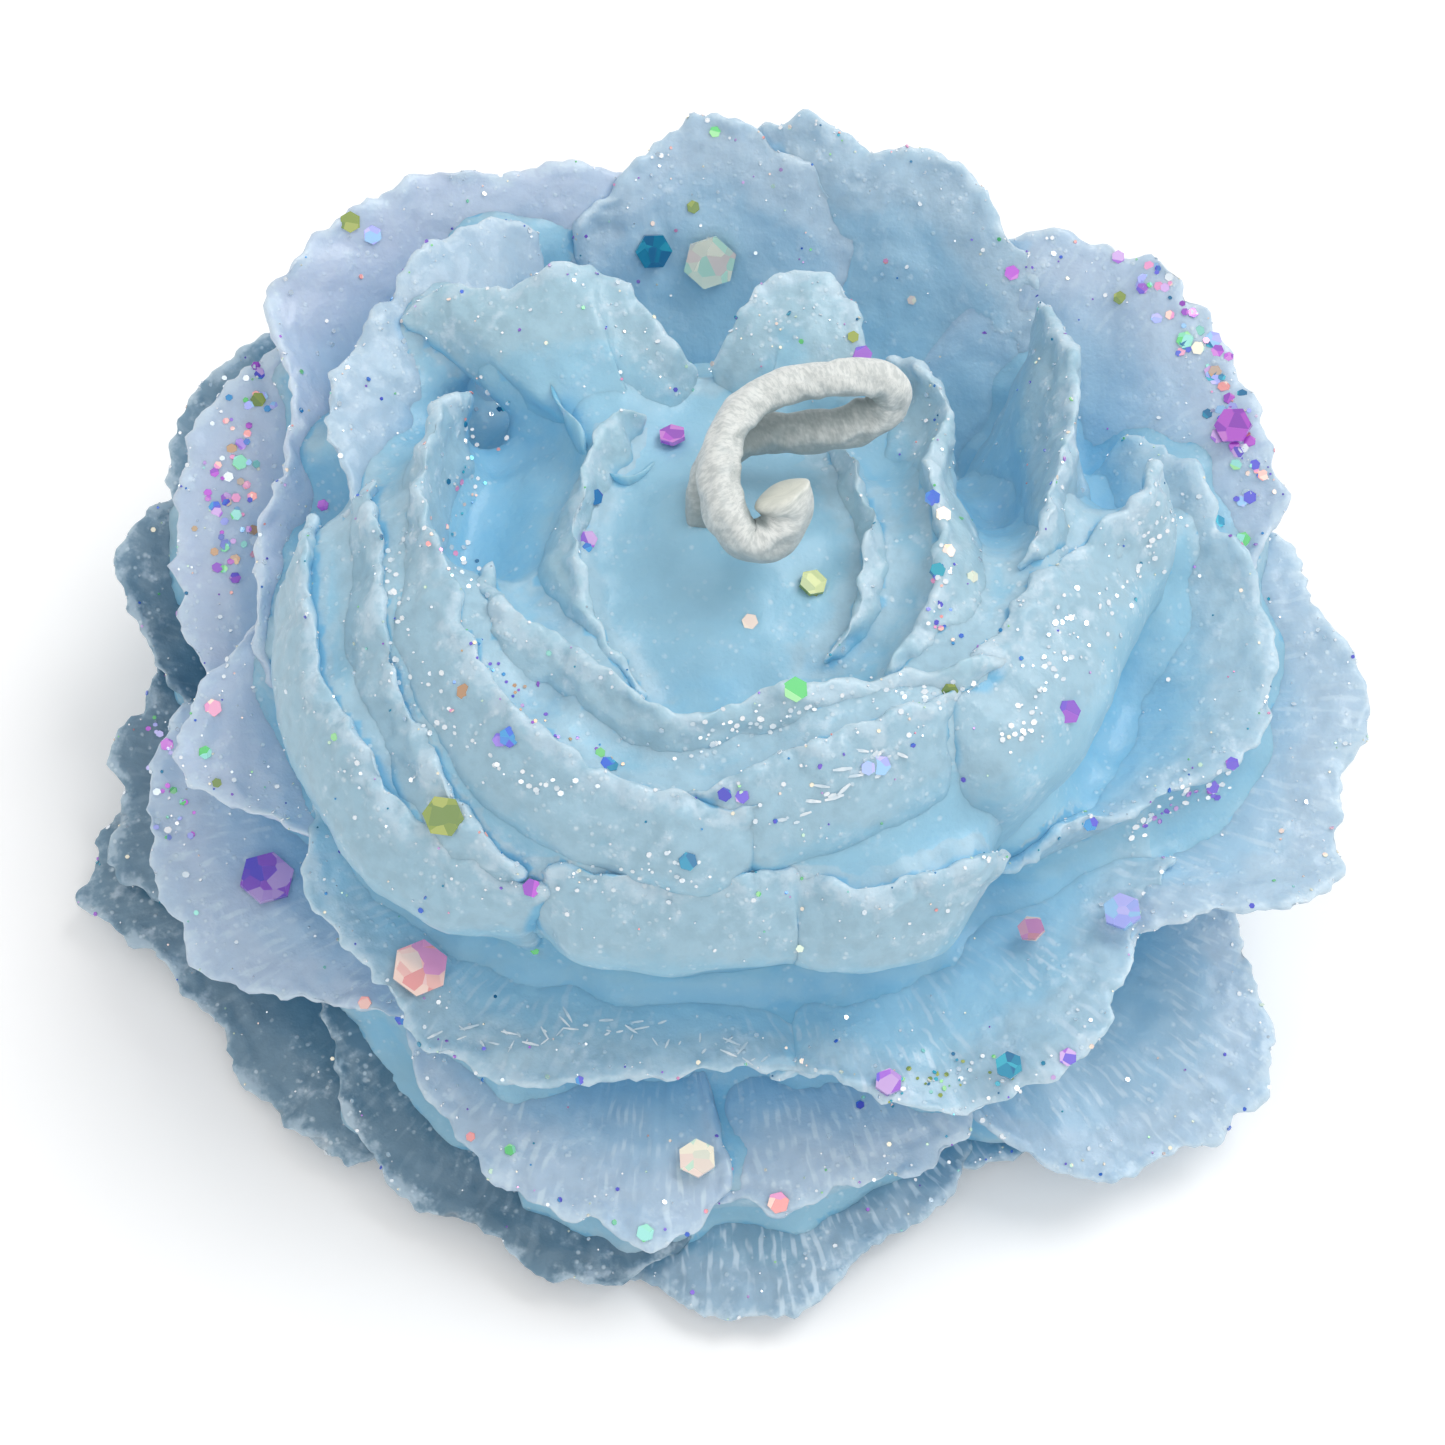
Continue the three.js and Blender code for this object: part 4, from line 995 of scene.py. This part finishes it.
def skin(field, level, low):
    """Points and faces of a smooth skin where a field passes a level"""
    inside = field > level
    total = np.zeros((*field.shape, 3))
    count = np.zeros(field.shape)
    edges = []
    places = np.stack(np.meshgrid(*(np.arange(size) for size in field.shape), indexing="ij"), axis=-1)
    for axis in range(3):
        after = np.roll(field, -1, axis)
        crossing = inside != np.roll(inside, -1, axis)
        share = np.where(crossing, (level - field) / np.where(crossing, after - field, 1), 0)
        spots = places.astype(float)
        spots[..., axis] += share
        spots *= crossing[..., None]
        b, c = (axis + 1) % 3, (axis + 2) % 3
        for shift in ((0, 0), (-1, 0), (-1, -1), (0, -1)):
            total += np.roll(spots, shift, (b, c))
            count += np.roll(crossing, shift, (b, c))
        edges.append((b, c, crossing))
    number = np.full(field.shape, -1)
    used = count > 0
    number[used] = np.arange(used.sum())
    points = total[used] / count[used][:, None]
    faces = []
    for b, c, crossing in edges:
        corners = [np.roll(number, shift, (b, c))[crossing] for shift in ((0, 0), (1, 0), (1, 1), (0, 1))]
        quads = np.stack(corners, axis=1)
        inward = ~inside[crossing]
        quads[inward] = quads[inward][:, ::-1]
        faces.append(quads)
    return np.array(low) + (points + 0.5) * CELL_SIZE, np.concatenate(faces)


field = core_cells.astype(float)
for _ in range(BLURS):
    for axis in range(3):
        field = (np.roll(field, 1, axis) + 2 * field + np.roll(field, -1, axis)) / 4
core_points, core_faces = skin(field, 0.5, grid_low - Vector((0, 0, MARGIN * CELL_SIZE)))
core_points[core_points[:, 2] < TABLE_SNAP, 2] = 0
core = new_piece("wax_core", core_points, core_faces.tolist())
pick(core)
bpy.ops.object.shade_smooth()
print("core triangles:", 2 * len(core.data.polygons))

# %% [markdown]
# The core takes its way to the rim from the nearest petal, so that the frosted band runs on over
# the seam, and gets the petals' lumps and grain except at its foot, which stays flat.

# %% Finish of the core
BEHIND_RIM, PER_APART = 0.8, 1.3
SMOOTH_FOOT = 5 * MM
nearest = KDTree(sum(len(petal.data.vertices) for petal in petals))
rim_depths = np.concatenate([values_of(petal.data, "from_rim") for petal in petals])
for number, place in enumerate(place for petal in petals for place in points_of(petal.data)):
    nearest.insert(place, number)
nearest.balance()
found = [nearest.find(point.co) for point in core.data.vertices]
give(core.data, "from_rim", [rim_depths[number] + BEHIND_RIM + PER_APART * gap / MM
                             for _, number, gap in found])
give(core.data, "openness", openness(core.data, surface_tree(petals)))
places, normals = points_of(core.data), points_of(core.data, "normal")
carving = np.array([lumps(place) for place in places]) * (places[:, 2] > SMOOTH_FOOT)
lay(core.data, places + normals * carving[:, None])
core.data.materials.append(WAXES["body"])
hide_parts("wax_body")
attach(core, "root")
print("core's points within 1 mm of a petal:", sum(gap < MM for _, _, gap in found))

# %% [markdown]
# The large flakes keep their solids, which already lie where the photograph shows them. A flake that
# lies on soft wax has pressed a shallow seat into it. So around each the wax is lowered, by as much
# as it would cover the flake at its highest, and eases back to its own height past the flake's edge.

# %% Seats of the large flakes
SET_FLAKES = {
    "flake_back_white": "white", "flake_back_teal": "teal", "flake_right_magenta": "magenta",
    "flake_left_violet": "violet", "flake_front_pink": "pink", "flake_front_violet": "violet",
    "flake_front_teal": "teal", "flake_right_rose": "pink", "flake_right_lilac": "lilac",
    "flake_low_white": "white", "flake_heart_magenta": "magenta", "flake_heart_olive": "olive"}
SEAT_ROOM = 1.3 * MM
SEAT_REACH = 2.5 * MM
PROBES, PROBE_SHARE, PROBE_START = 7, 0.8, 2 * MM


def flake_seats():
    """Middle, upward direction, radius and half thickness of every large flake of the solids"""
    seats = []
    for name in SET_FLAKES:
        places = points_of(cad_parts[name].data)
        middle = (places.min(axis=0) + places.max(axis=0)) / 2
        upward = np.linalg.svd(places - places.mean(axis=0))[2][2]
        upward *= np.sign(upward[2])
        heights = (places - middle) @ upward
        radius = np.linalg.norm(places - middle - np.outer(heights, upward), axis=1).max()
        seats.append((middle, upward, radius, np.ptp(heights) / 2))
    return seats


def press_seats(pieces, seats):
    """Dents the wax under each large flake, so that the flake lies on it instead of in it"""
    tree = surface_tree(pieces)
    for middle, upward, radius, half in seats:
        up = Vector(upward)
        aside = up.orthogonal().normalized()
        covers = [0]
        for turn in range(PROBES):
            spot = Vector(middle) + Matrix.Rotation(turn, 3, up) @ aside * radius * PROBE_SHARE * (turn > 0)
            hit = tree.ray_cast(spot + up * PROBE_START, -up, 2 * PROBE_START)[0]
            covers.append((hit - spot).dot(up) + half if hit else 0)
        for piece in pieces:
            places = points_of(piece.data)
            heights = (places - middle) @ upward
            apart = np.linalg.norm(places - middle - np.outer(heights, upward), axis=1)
            share = np.clip((radius * 1.1 + SEAT_ROOM - apart) / SEAT_ROOM, 0, 1)
            share = share * share * (3 - 2 * share) * (np.abs(heights) < SEAT_REACH)
            if share.any():
                lay(piece.data, places - np.outer(share * max(covers), upward))


press_seats([*petals, core], flake_seats())
print("seats pressed:", len(SET_FLAKES))

# %% [markdown]
# The wick is a waxed cotton plait, thick as a bootlace and stiff enough to keep its curl. It is
# drawn along the solids' route by frames that are carried from one station to the next without
# twisting, as a real cord turns least.

# %% Route of the wick
WICK_ROUTE = [
    (0, 0, 0.5), (0, 0, 0.9), (0.003, 0.012, 0.945), (0.01, 0.045, 0.982), (0.036, 0.09, 0.996),
    (0.08, 0.113, 0.993), (0.14, 0.12, 0.99), (0.214, 0.129, 0.994), (0.258, 0.142, 1.011),
    (0.272, 0.153, 1.042), (0.255, 0.16, 1.075), (0.197, 0.156, 1.086), (0.124, 0.141, 1.086),
    (0.065, 0.107, 1.086), (0.03, 0.05, 1.083), (0.02, -0.018, 1.075), (0.034, -0.074, 1.05),
    (0.064, -0.1, 1.026), (0.1, -0.088, 1.028), (0.118, -0.062, 1.052), (0.108, -0.044, 1.082)]
WICK_START = 1 * MM
STATIONS = 320


def wick_frames():
    """Places and side directions along the wick, carried along it without twisting"""
    share = Vector((FLOWER_RADIUS, FLOWER_RADIUS, CROWN_HEIGHT))
    route = [AXIS + Vector((0, 0, WICK_START))]
    route += [AXIS + Vector(point) * share for point in WICK_ROUTE]
    spots = [smooth_curve(route, i / STATIONS) for i in range(STATIONS + 1)]
    side, frames = Vector((1, 0, 0)), []
    for i, spot in enumerate(spots):
        along = (spots[min(i + 1, STATIONS)] - spots[max(i - 1, 0)]).normalized()
        side = (side - side.dot(along) * along).normalized()
        frames.append((spot, side, along.cross(side)))
    return frames


frames = wick_frames()
lengths = [0.0]
for (a, *_), (b, *_) in zip(frames, frames[1:]):
    lengths.append(lengths[-1] + (b - a).length)
wick_length = lengths[-1]
print("wick length, mm:", round(wick_length / MM, 1))

# %% [markdown]
# A grid is rolled into a tube along the frames, a little squarer than round, and its ends are
# closed. The plait is carved into it: two families of strands that cross and pass over and under
# each other, half drowned in lumps of wax. The cut end has spread, as a snipped plait does.

# %% Wick
WICK_HALF_DEPTH, WICK_HALF_WIDTH = 1.35 * MM, 1.2 * MM
AROUND, SQUARENESS = 56, 2.6
END_ROUNDING, END_FACE = 0.5 * MM, 0.4 * MM
CUT_SWELL, CUT_REACH = 0.5, 2 * MM
STRANDS, STRAND, STRAND_PITCH = 4, 0.07 * MM, 0.42 * MM
WAX_LUMP = 0.2 * MM
SINK = 0.1 * MM


def wick_relief(turn, around, length, spot, inward):
    """How far the plait and the wax on it stand out; inward grows from 0 to 1 away from the ends"""
    strands = (math.sin(STRANDS * turn + way * length / STRAND_PITCH) for way in (1, -1))
    plait = STRAND * (max(strands) - 0.6) * inward
    lumps_here = noise.noise(spot / (2.2 * MM) + around * 0.7) + 0.6 * noise.noise(spot / (0.8 * MM) + around)
    return plait + WAX_LUMP * lumps_here


wick = new_grid("waxed_wick", AROUND, STATIONS)
places, stored = [], []
for (spot, side, across), length in zip(frames, lengths):
    to_end = min(length, wick_length - length) / END_ROUNDING
    close = math.sqrt(max(0, 1 - (1 - min(to_end, 1)) ** 4))
    flare = 1 + CUT_SWELL * math.exp(-(wick_length - length) / CUT_REACH)
    for i in range(AROUND + 1):
        turn = 2 * math.pi * i / AROUND
        c, d = math.cos(turn), math.sin(turn)
        reach = (abs(c) ** SQUARENESS + abs(d) ** SQUARENESS) ** (-1 / SQUARENESS) * close * flare
        relief = wick_relief(turn, Vector((c, d, 0)), length, spot, min(to_end, 1)) * close
        places.append(spot + side * c * (WICK_HALF_DEPTH * reach - SINK * reach + relief)
                      + across * d * (WICK_HALF_WIDTH * reach - SINK * reach + relief))
        stored.append((turn, length / MM, math.exp((length - wick_length) / END_FACE)))
lay(wick.data, np.array(places))
for title, values in zip(("around", "upward", "end_face"), np.array(stored).T):
    give(wick.data, title, values)
close_seams(0.002 * MM)
bpy.ops.object.shade_smooth()
give(wick.data, "openness", openness(wick.data, surface_tree([wick, core, *petals])))
print("wick faces:", len(wick.data.polygons))

# %% [markdown]
# Waxed cotton is off-white and a little see-through. Its strands slant both ways round the wick,
# thin wax greys it in patches, it darkens where the curl shades it, and the cut end is creamier.

# %% Cotton
cotton, shader, place = new_material("waxed_cotton", {
    "Subsurface Weight": 0.4, "Subsurface Radius": (1.0, 1.0, 1.0), "Subsurface Scale": 0.5 * MM,
    "Sheen Weight": 0.2})
turn_here, run, open_here, end_face = (place.attribute(title)
                                       for title in ("around", "upward", "openness", "end_face"))
blotch = place.clouds(1.6 * MM, 3)
slant = turn_here * 2.0
strands = place.at(slant + run * 2.2, slant - run * 5.0, blotch).clouds(1, 3, 0.6)
colour = strands.step(0.35, 0.62).blend(tint(200, 205, 203), tint(226, 229, 226))
colour = (blotch.step(0.55, 0.75) * 0.35).blend(colour, tint(176, 188, 190))
colour = (open_here.step(0.95, 0.4) * 0.75).blend(colour, tint(126, 143, 145))
colour = (end_face * 0.7).blend(colour, tint(222, 222, 204))
connect(shader, {"Base Color": colour, "Roughness": strands * 0.25 + 0.42,
                 "Normal": strands.bump(0.3, 0.1 * MM)})
wick.data.materials.append(cotton)
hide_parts("wick")
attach(wick, "root")
print("wick finish:", cotton.name)

# %% [markdown]
# The tab under the candle is pressed from tinned steel. Its solid is right as it is and only takes a
# brushed finish: noise drawn out twelvefold in one direction.

# %% Tab finish
def finish_solid(name, finish):
    """Gives a solid of the frame a finish in place of its plain colour"""
    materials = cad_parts[name].data.materials
    materials.clear()
    materials.append(finish)


tin, shader, place = new_material("tinned_steel", {"Metallic": 0.9})
brushing = place.node("ShaderNodeMapping", {}, {"Vector": place, "Scale": (1, 12, 1)}).clouds(1.2 * MM, 3)
connect(shader, {"Base Color": brushing.blend(tint(188, 192, 196), tint(224, 226, 230)),
                 "Roughness": brushing * 0.25 + 0.25})
finish_solid("wick_tab", tin)
print("tab finish:", tin.name)

# %% [markdown]
# Glitter is cut from thin film that shines in more than one colour. Each finish mixes the flake's
# own colour with two others in small facets, as the film does where it is creased. The finest
# flakes are silver, and slivers of clear film lie on the front petals; both drift softly from one
# tone to another.

# %% Glitter finishes
FACET = 0.9 * MM


def film(name, main, second, third, metallic=0.35):
    """Creased film in three colours"""
    main, second, third = tint(*main), tint(*second), tint(*third)
    material, shader, place = new_material(name, {
        "Metallic": metallic, "Coat Weight": 1.0, "Coat Roughness": 0.05,
        "Thin Film Thickness": 420.0, "Thin Film IOR": 1.5})
    facet = place.cells(FACET, 1)
    colour = facet.part(0).step(0.3, 0.8).blend(main, second)
    colour = facet.part(1).step(0.55, 0.75).blend(colour, third)
    connect(shader, {"Base Color": colour, "Roughness": facet.part(2) * 0.2 + 0.12})
    return material


def sheen(name, settings, size, first, second, smoothest):
    """A finish that drifts from one colour to another in soft blobs"""
    material, shader, place = new_material(name, settings)
    drift = place.clouds(size)
    connect(shader, {"Base Color": drift.step(0.3, 0.7).blend(first, second),
                     "Roughness": drift * 0.2 + smoothest})
    return material


FILM_TONES = {
    "white": ((250, 226, 214), (206, 240, 216), (255, 246, 222)),
    "teal": ((24, 140, 176), (52, 176, 200), (20, 112, 158)),
    "magenta": ((186, 84, 208), (206, 128, 214), (150, 70, 190)),
    "olive": ((134, 156, 52), (168, 180, 84), (110, 140, 58), 0.05),
    "violet": ((160, 96, 206), (110, 92, 210), (204, 168, 224)),
    "pink": ((242, 160, 158), (255, 220, 206), (230, 150, 196)),
    "lilac": ((160, 168, 238), (196, 190, 244), (150, 196, 236)),
    "blue": ((52, 104, 214), (52, 146, 206), (84, 84, 206)),
    "green": ((96, 206, 120), (160, 226, 160), (150, 220, 210)),
    "amber": ((190, 150, 116), (204, 176, 140), (176, 160, 150)),
}
FILMS = {name: film("film_" + name, *tones) for name, tones in FILM_TONES.items()}
FILMS["silver"] = sheen("speck_silver", {"Metallic": 0.5, "Coat Weight": 1.0}, 3 * MM,
                        tint(214, 228, 238), tint(246, 248, 250), 0.1)
FILMS["clear"] = sheen("clear_film", {"IOR": 1.4, "Coat Weight": 0.6}, 0.8 * MM,
                       tint(196, 216, 228), tint(236, 242, 246), 0.15)
FILM_SLOTS = {"blue": "flake_teal", "green": "flake_olive", "amber": "flake_olive",
              "silver": "flake_white", "clear": "flake_white"}
for name, colour in SET_FLAKES.items():
    finish_solid(name, FILMS[colour])
print("glitter finishes:", len(FILMS))

# %% [markdown]
# Smaller flakes lie where the photograph shows them. Each row is a pixel of the photograph and the
# flake's width in pixels; a sight line from the camera finds the wax there. Hand-scattered glitter
# lies flat on the wax but seems to turn to the viewer, since only flakes that do are seen, so each
# one faces midway between. All flakes of one colour are one object, stamped from a six-sided disc.

# %% Flakes placed by sight
GLITTER = {
    "olive": [(350, 222, 22), (950, 690, 16), (445, 815, 40), (1120, 298, 14), (853, 337, 12),
              (693, 207, 14), (217, 783, 10), (258, 400, 16), (813, 588, 20)],
    "lilac": [(372, 235, 20), (1213, 340, 18), (880, 765, 20), (868, 768, 14)],
    "violet": [(500, 166, 30), (588, 540, 18), (500, 740, 14), (742, 796, 14), (1068, 712, 24),
               (1212, 787, 14), (1232, 764, 14), (1068, 1057, 18), (1118, 257, 14), (1165, 288, 10),
               (1218, 436, 16), (862, 355, 20), (235, 578, 12)],
    "magenta": [(532, 888, 18), (1012, 273, 16), (167, 745, 14), (1185, 312, 8), (270, 872, 20),
                (323, 505, 12)],
    "blue": [(595, 497, 16), (510, 737, 20), (725, 794, 14), (1090, 823, 16), (1250, 497, 14),
             (580, 1080, 9), (860, 1105, 9), (402, 1018, 14), (607, 764, 14), (933, 498, 16),
             (587, 548, 10)],
    "teal": [(938, 571, 16), (688, 861, 18), (1218, 522, 14), (612, 766, 12)],
    "green": [(600, 753, 10), (205, 753, 14), (335, 737, 8), (240, 462, 16), (236, 515, 12),
              (1185, 340, 18), (1243, 540, 16), (645, 1233, 18), (510, 1150, 12), (535, 950, 9),
              (795, 690, 24), (715, 132, 12)],
    "white": [(943, 515, 16), (972, 577, 12), (912, 300, 10), (1198, 348, 14), (800, 948, 8),
              (750, 622, 16)],
    "pink": [(213, 708, 18), (778, 1203, 22), (471, 1137, 10), (365, 1003, 14), (236, 498, 10),
             (1170, 315, 10)],
    "amber": [(465, 692, 16), (1215, 372, 14), (948, 551, 14)],
}
PIXELS_PER_RADIUS = 32
FLAKE_THICKNESS, SPECK_THICKNESS = 0.09 * MM, 0.06 * MM
FLAKE_LIFT, SPECK_LIFT = 0.12 * MM, 0.03 * MM
wax_tree = surface_tree(petals + [core])
bpy.ops.mesh.primitive_cylinder_add(vertices=6, radius=1, depth=1)
pattern = bpy.context.object
pattern_places = points_of(pattern.data)
pattern_faces = [list(face.vertices) for face in pattern.data.polygons]
bpy.data.objects.remove(pattern)


def strew(kind, rows, colour):
    """One object of many flakes; a row is a place, the way it faces, its size on three sides, its spin"""
    places, faces = [], []
    for spot, facing, size, spin in rows:
        turn = facing.to_track_quat("Z", "Y").to_matrix() @ Matrix.Rotation(spin, 3, "Z")
        start = len(places) * len(pattern_places)
        places.append((pattern_places * np.array(size)) @ np.array(turn).T + np.array(spot))
        faces += [[start + i for i in face] for face in pattern_faces]
    piece = new_piece(kind + "_" + colour, np.concatenate(places), faces)
    piece.data.materials.append(FILMS[colour])
    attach(piece, "root")
    FILM_SLOTS.get(colour, "flake_" + colour)


def seen_wax(across, down):
    """The wax at a pixel of the photograph, its normal and the way to the camera, or none"""
    spot, normal, *_ = wax_tree.ray_cast(camera.location, sight_line(across, down))
    return (spot, normal, (camera.location - spot).normalized()) if spot else None


chance = random.Random(11)
for colour, rows in GLITTER.items():
    laid = []
    for across, down, width in rows:
        if seen_here := seen_wax(across, down):
            spot, normal, toward = seen_here
            facing = (normal + toward + Vector((chance.gauss(0, 0.1), chance.gauss(0, 0.1), 0))).normalized()
            radius = width / PIXELS_PER_RADIUS * MM
            lift = SPECK_LIFT + FLAKE_LIFT * (radius / MM) ** 2
            size = (radius, radius, FLAKE_THICKNESS)
            laid.append((spot + normal * lift, facing, size, chance.uniform(0, 1)))
    strew("glitter", laid, colour)
print("flakes placed:", sum(len(rows) for rows in GLITTER.values()))

# %% [markdown]
# In places the glitter was laid on in bands: fine silver along the inner rims, coloured flakes on the
# right and left back rims, and slivers of clear film pressed into the front petal. A band is a
# broken line through pixels of the photograph, its half width, how many flakes, their least and
# greatest width, how much longer they can be than wide, and their colours.

# %% Bands of glitter
BANDS = [
    ([(1178, 500), (1120, 590), (1050, 660), (1005, 740)], 26, 90, (2, 6), 1.3, ["silver"]),
    ([(690, 745), (760, 720), (860, 700), (960, 690)], 22, 60, (2, 6), 1.4, ["silver", "clear"]),
    ([(500, 395), (465, 450), (455, 520), (470, 600)], 22, 60, (2, 6), 1.2,
     ["silver", "silver", "pink", "teal"]),
    ([(385, 560), (400, 640), (440, 720), (500, 770), (600, 800)], 20, 60, (2, 6), 1.4,
     ["silver", "clear"]),
    ([(1150, 262), (1195, 330), (1230, 400), (1255, 500)], 26, 70, (4, 13), 1.2,
     ["silver", "green", "lilac", "violet", "blue", "teal", "pink", "magenta"]),
    ([(262, 370), (240, 450), (225, 520), (230, 560)], 26, 60, (4, 12), 1.2,
     ["silver", "green", "lilac", "violet", "blue", "amber", "pink", "magenta"]),
    ([(430, 1045), (520, 1035), (620, 1025), (700, 1035), (790, 1070)], 16, 46, (1.5, 3), 9.0, ["clear"]),
    ([(780, 820), (850, 780), (900, 740)], 14, 22, (2, 4), 6.0, ["clear"]),
    ([(890, 1085), (940, 1080), (1010, 1060)], 22, 46, (2, 5), 1.3, ["silver", "olive", "teal", "green"]),
    ([(1130, 830), (1180, 800), (1230, 780)], 14, 40, (2, 6), 1.6, ["silver", "silver", "violet"]),
    ([(470, 640), (520, 700), (560, 735), (620, 765)], 12, 34, (2, 4), 1.2, ["violet", "blue", "amber"]),
    ([(560, 880), (640, 870), (720, 880)], 26, 30, (2, 5), 1.2, ["silver", "clear"]),
    ([(150, 720), (180, 800), (170, 860)], 26, 26, (3, 8), 1.2, ["silver", "green", "magenta", "lilac"]),
    ([(950, 560), (935, 610), (950, 650)], 16, 24, (2, 6), 1.3, ["silver", "pink", "blue"]),
]
specks = {}
chance = random.Random(23)
for line, half_width, wanted, widths, stretch, colours in BANDS:
    for _ in range(wanted):
        share = chance.random() * (len(line) - 1)
        step = min(int(share), len(line) - 2)
        start, end = np.array(line[step]), np.array(line[step + 1])
        pixel = start + (end - start) * (share - step) + [chance.gauss(0, half_width / 2) for _ in range(2)]
        if seen_here := seen_wax(*pixel):
            spot, normal, toward = seen_here
            facing = (normal * 1.5 + toward + Vector([chance.gauss(0, 0.3) for _ in range(3)])).normalized()
            width = chance.uniform(*widths) / PIXELS_PER_RADIUS * MM
            size = (width * chance.uniform(1, stretch), width, SPECK_THICKNESS)
            row = (spot + normal * SPECK_LIFT, facing, size, chance.gauss(0.1, 0.3))
            specks.setdefault(chance.choice(colours), []).append(row)
print("flakes in bands:", sum(len(rows) for rows in specks.values()))

# %% [markdown]
# Between them the wax holds specks too small to place by hand. They gather near the rims, where the
# glitter was brushed on, and only on wax that faces up and stands open. A seeded random number picks
# faces, so that every run gives the same candle.

# %% Specks
SPECKS = {"silver": 0.62, "white": 0.14, "blue": 0.05, "violet": 0.07, "pink": 0.04, "green": 0.05,
          "teal": 0.03}
SPECKS_ON = {"heart": 20, "inner": 60, "bud": 70, "guard": 80, "outer": 55, "base": 35}
LEAST_UPRIGHT, LEAST_OPEN = 0.1, 0.25
RIM_REACH, ANYWHERE = 3.5, 0.08
SPECK_RADIUS, SPECK_SPREAD = 0.06 * MM, 0.13 * MM
chance = random.Random(5)
for petal, row in zip(petals, PETALS):
    mesh = petal.data
    depths, open_shares = values_of(mesh, "from_rim"), values_of(mesh, "openness")
    wanted = SPECKS_ON[row[1]]
    while wanted > 0:
        face = mesh.polygons[chance.randrange(len(mesh.polygons))]
        point = face.vertices[0]
        if face.normal.z < LEAST_UPRIGHT or open_shares[point] < LEAST_OPEN:
            continue
        if chance.random() > math.exp(-depths[point] / RIM_REACH) + ANYWHERE:
            continue
        colour = chance.choices(list(SPECKS), list(SPECKS.values()))[0]
        facing = (face.normal + Vector((chance.gauss(0, 0.35), chance.gauss(0, 0.35), 0))).normalized()
        radius = SPECK_RADIUS + SPECK_SPREAD * chance.random() ** 3
        size = (radius, radius, SPECK_THICKNESS)
        speck = (face.center + face.normal * SPECK_LIFT, facing, size, chance.uniform(0, 1))
        specks.setdefault(colour, []).append(speck)
        wanted -= 1
for colour, rows in specks.items():
    strew("specks", rows, colour)
print("specks:", sum(len(rows) for rows in specks.values()))

# %% [markdown]
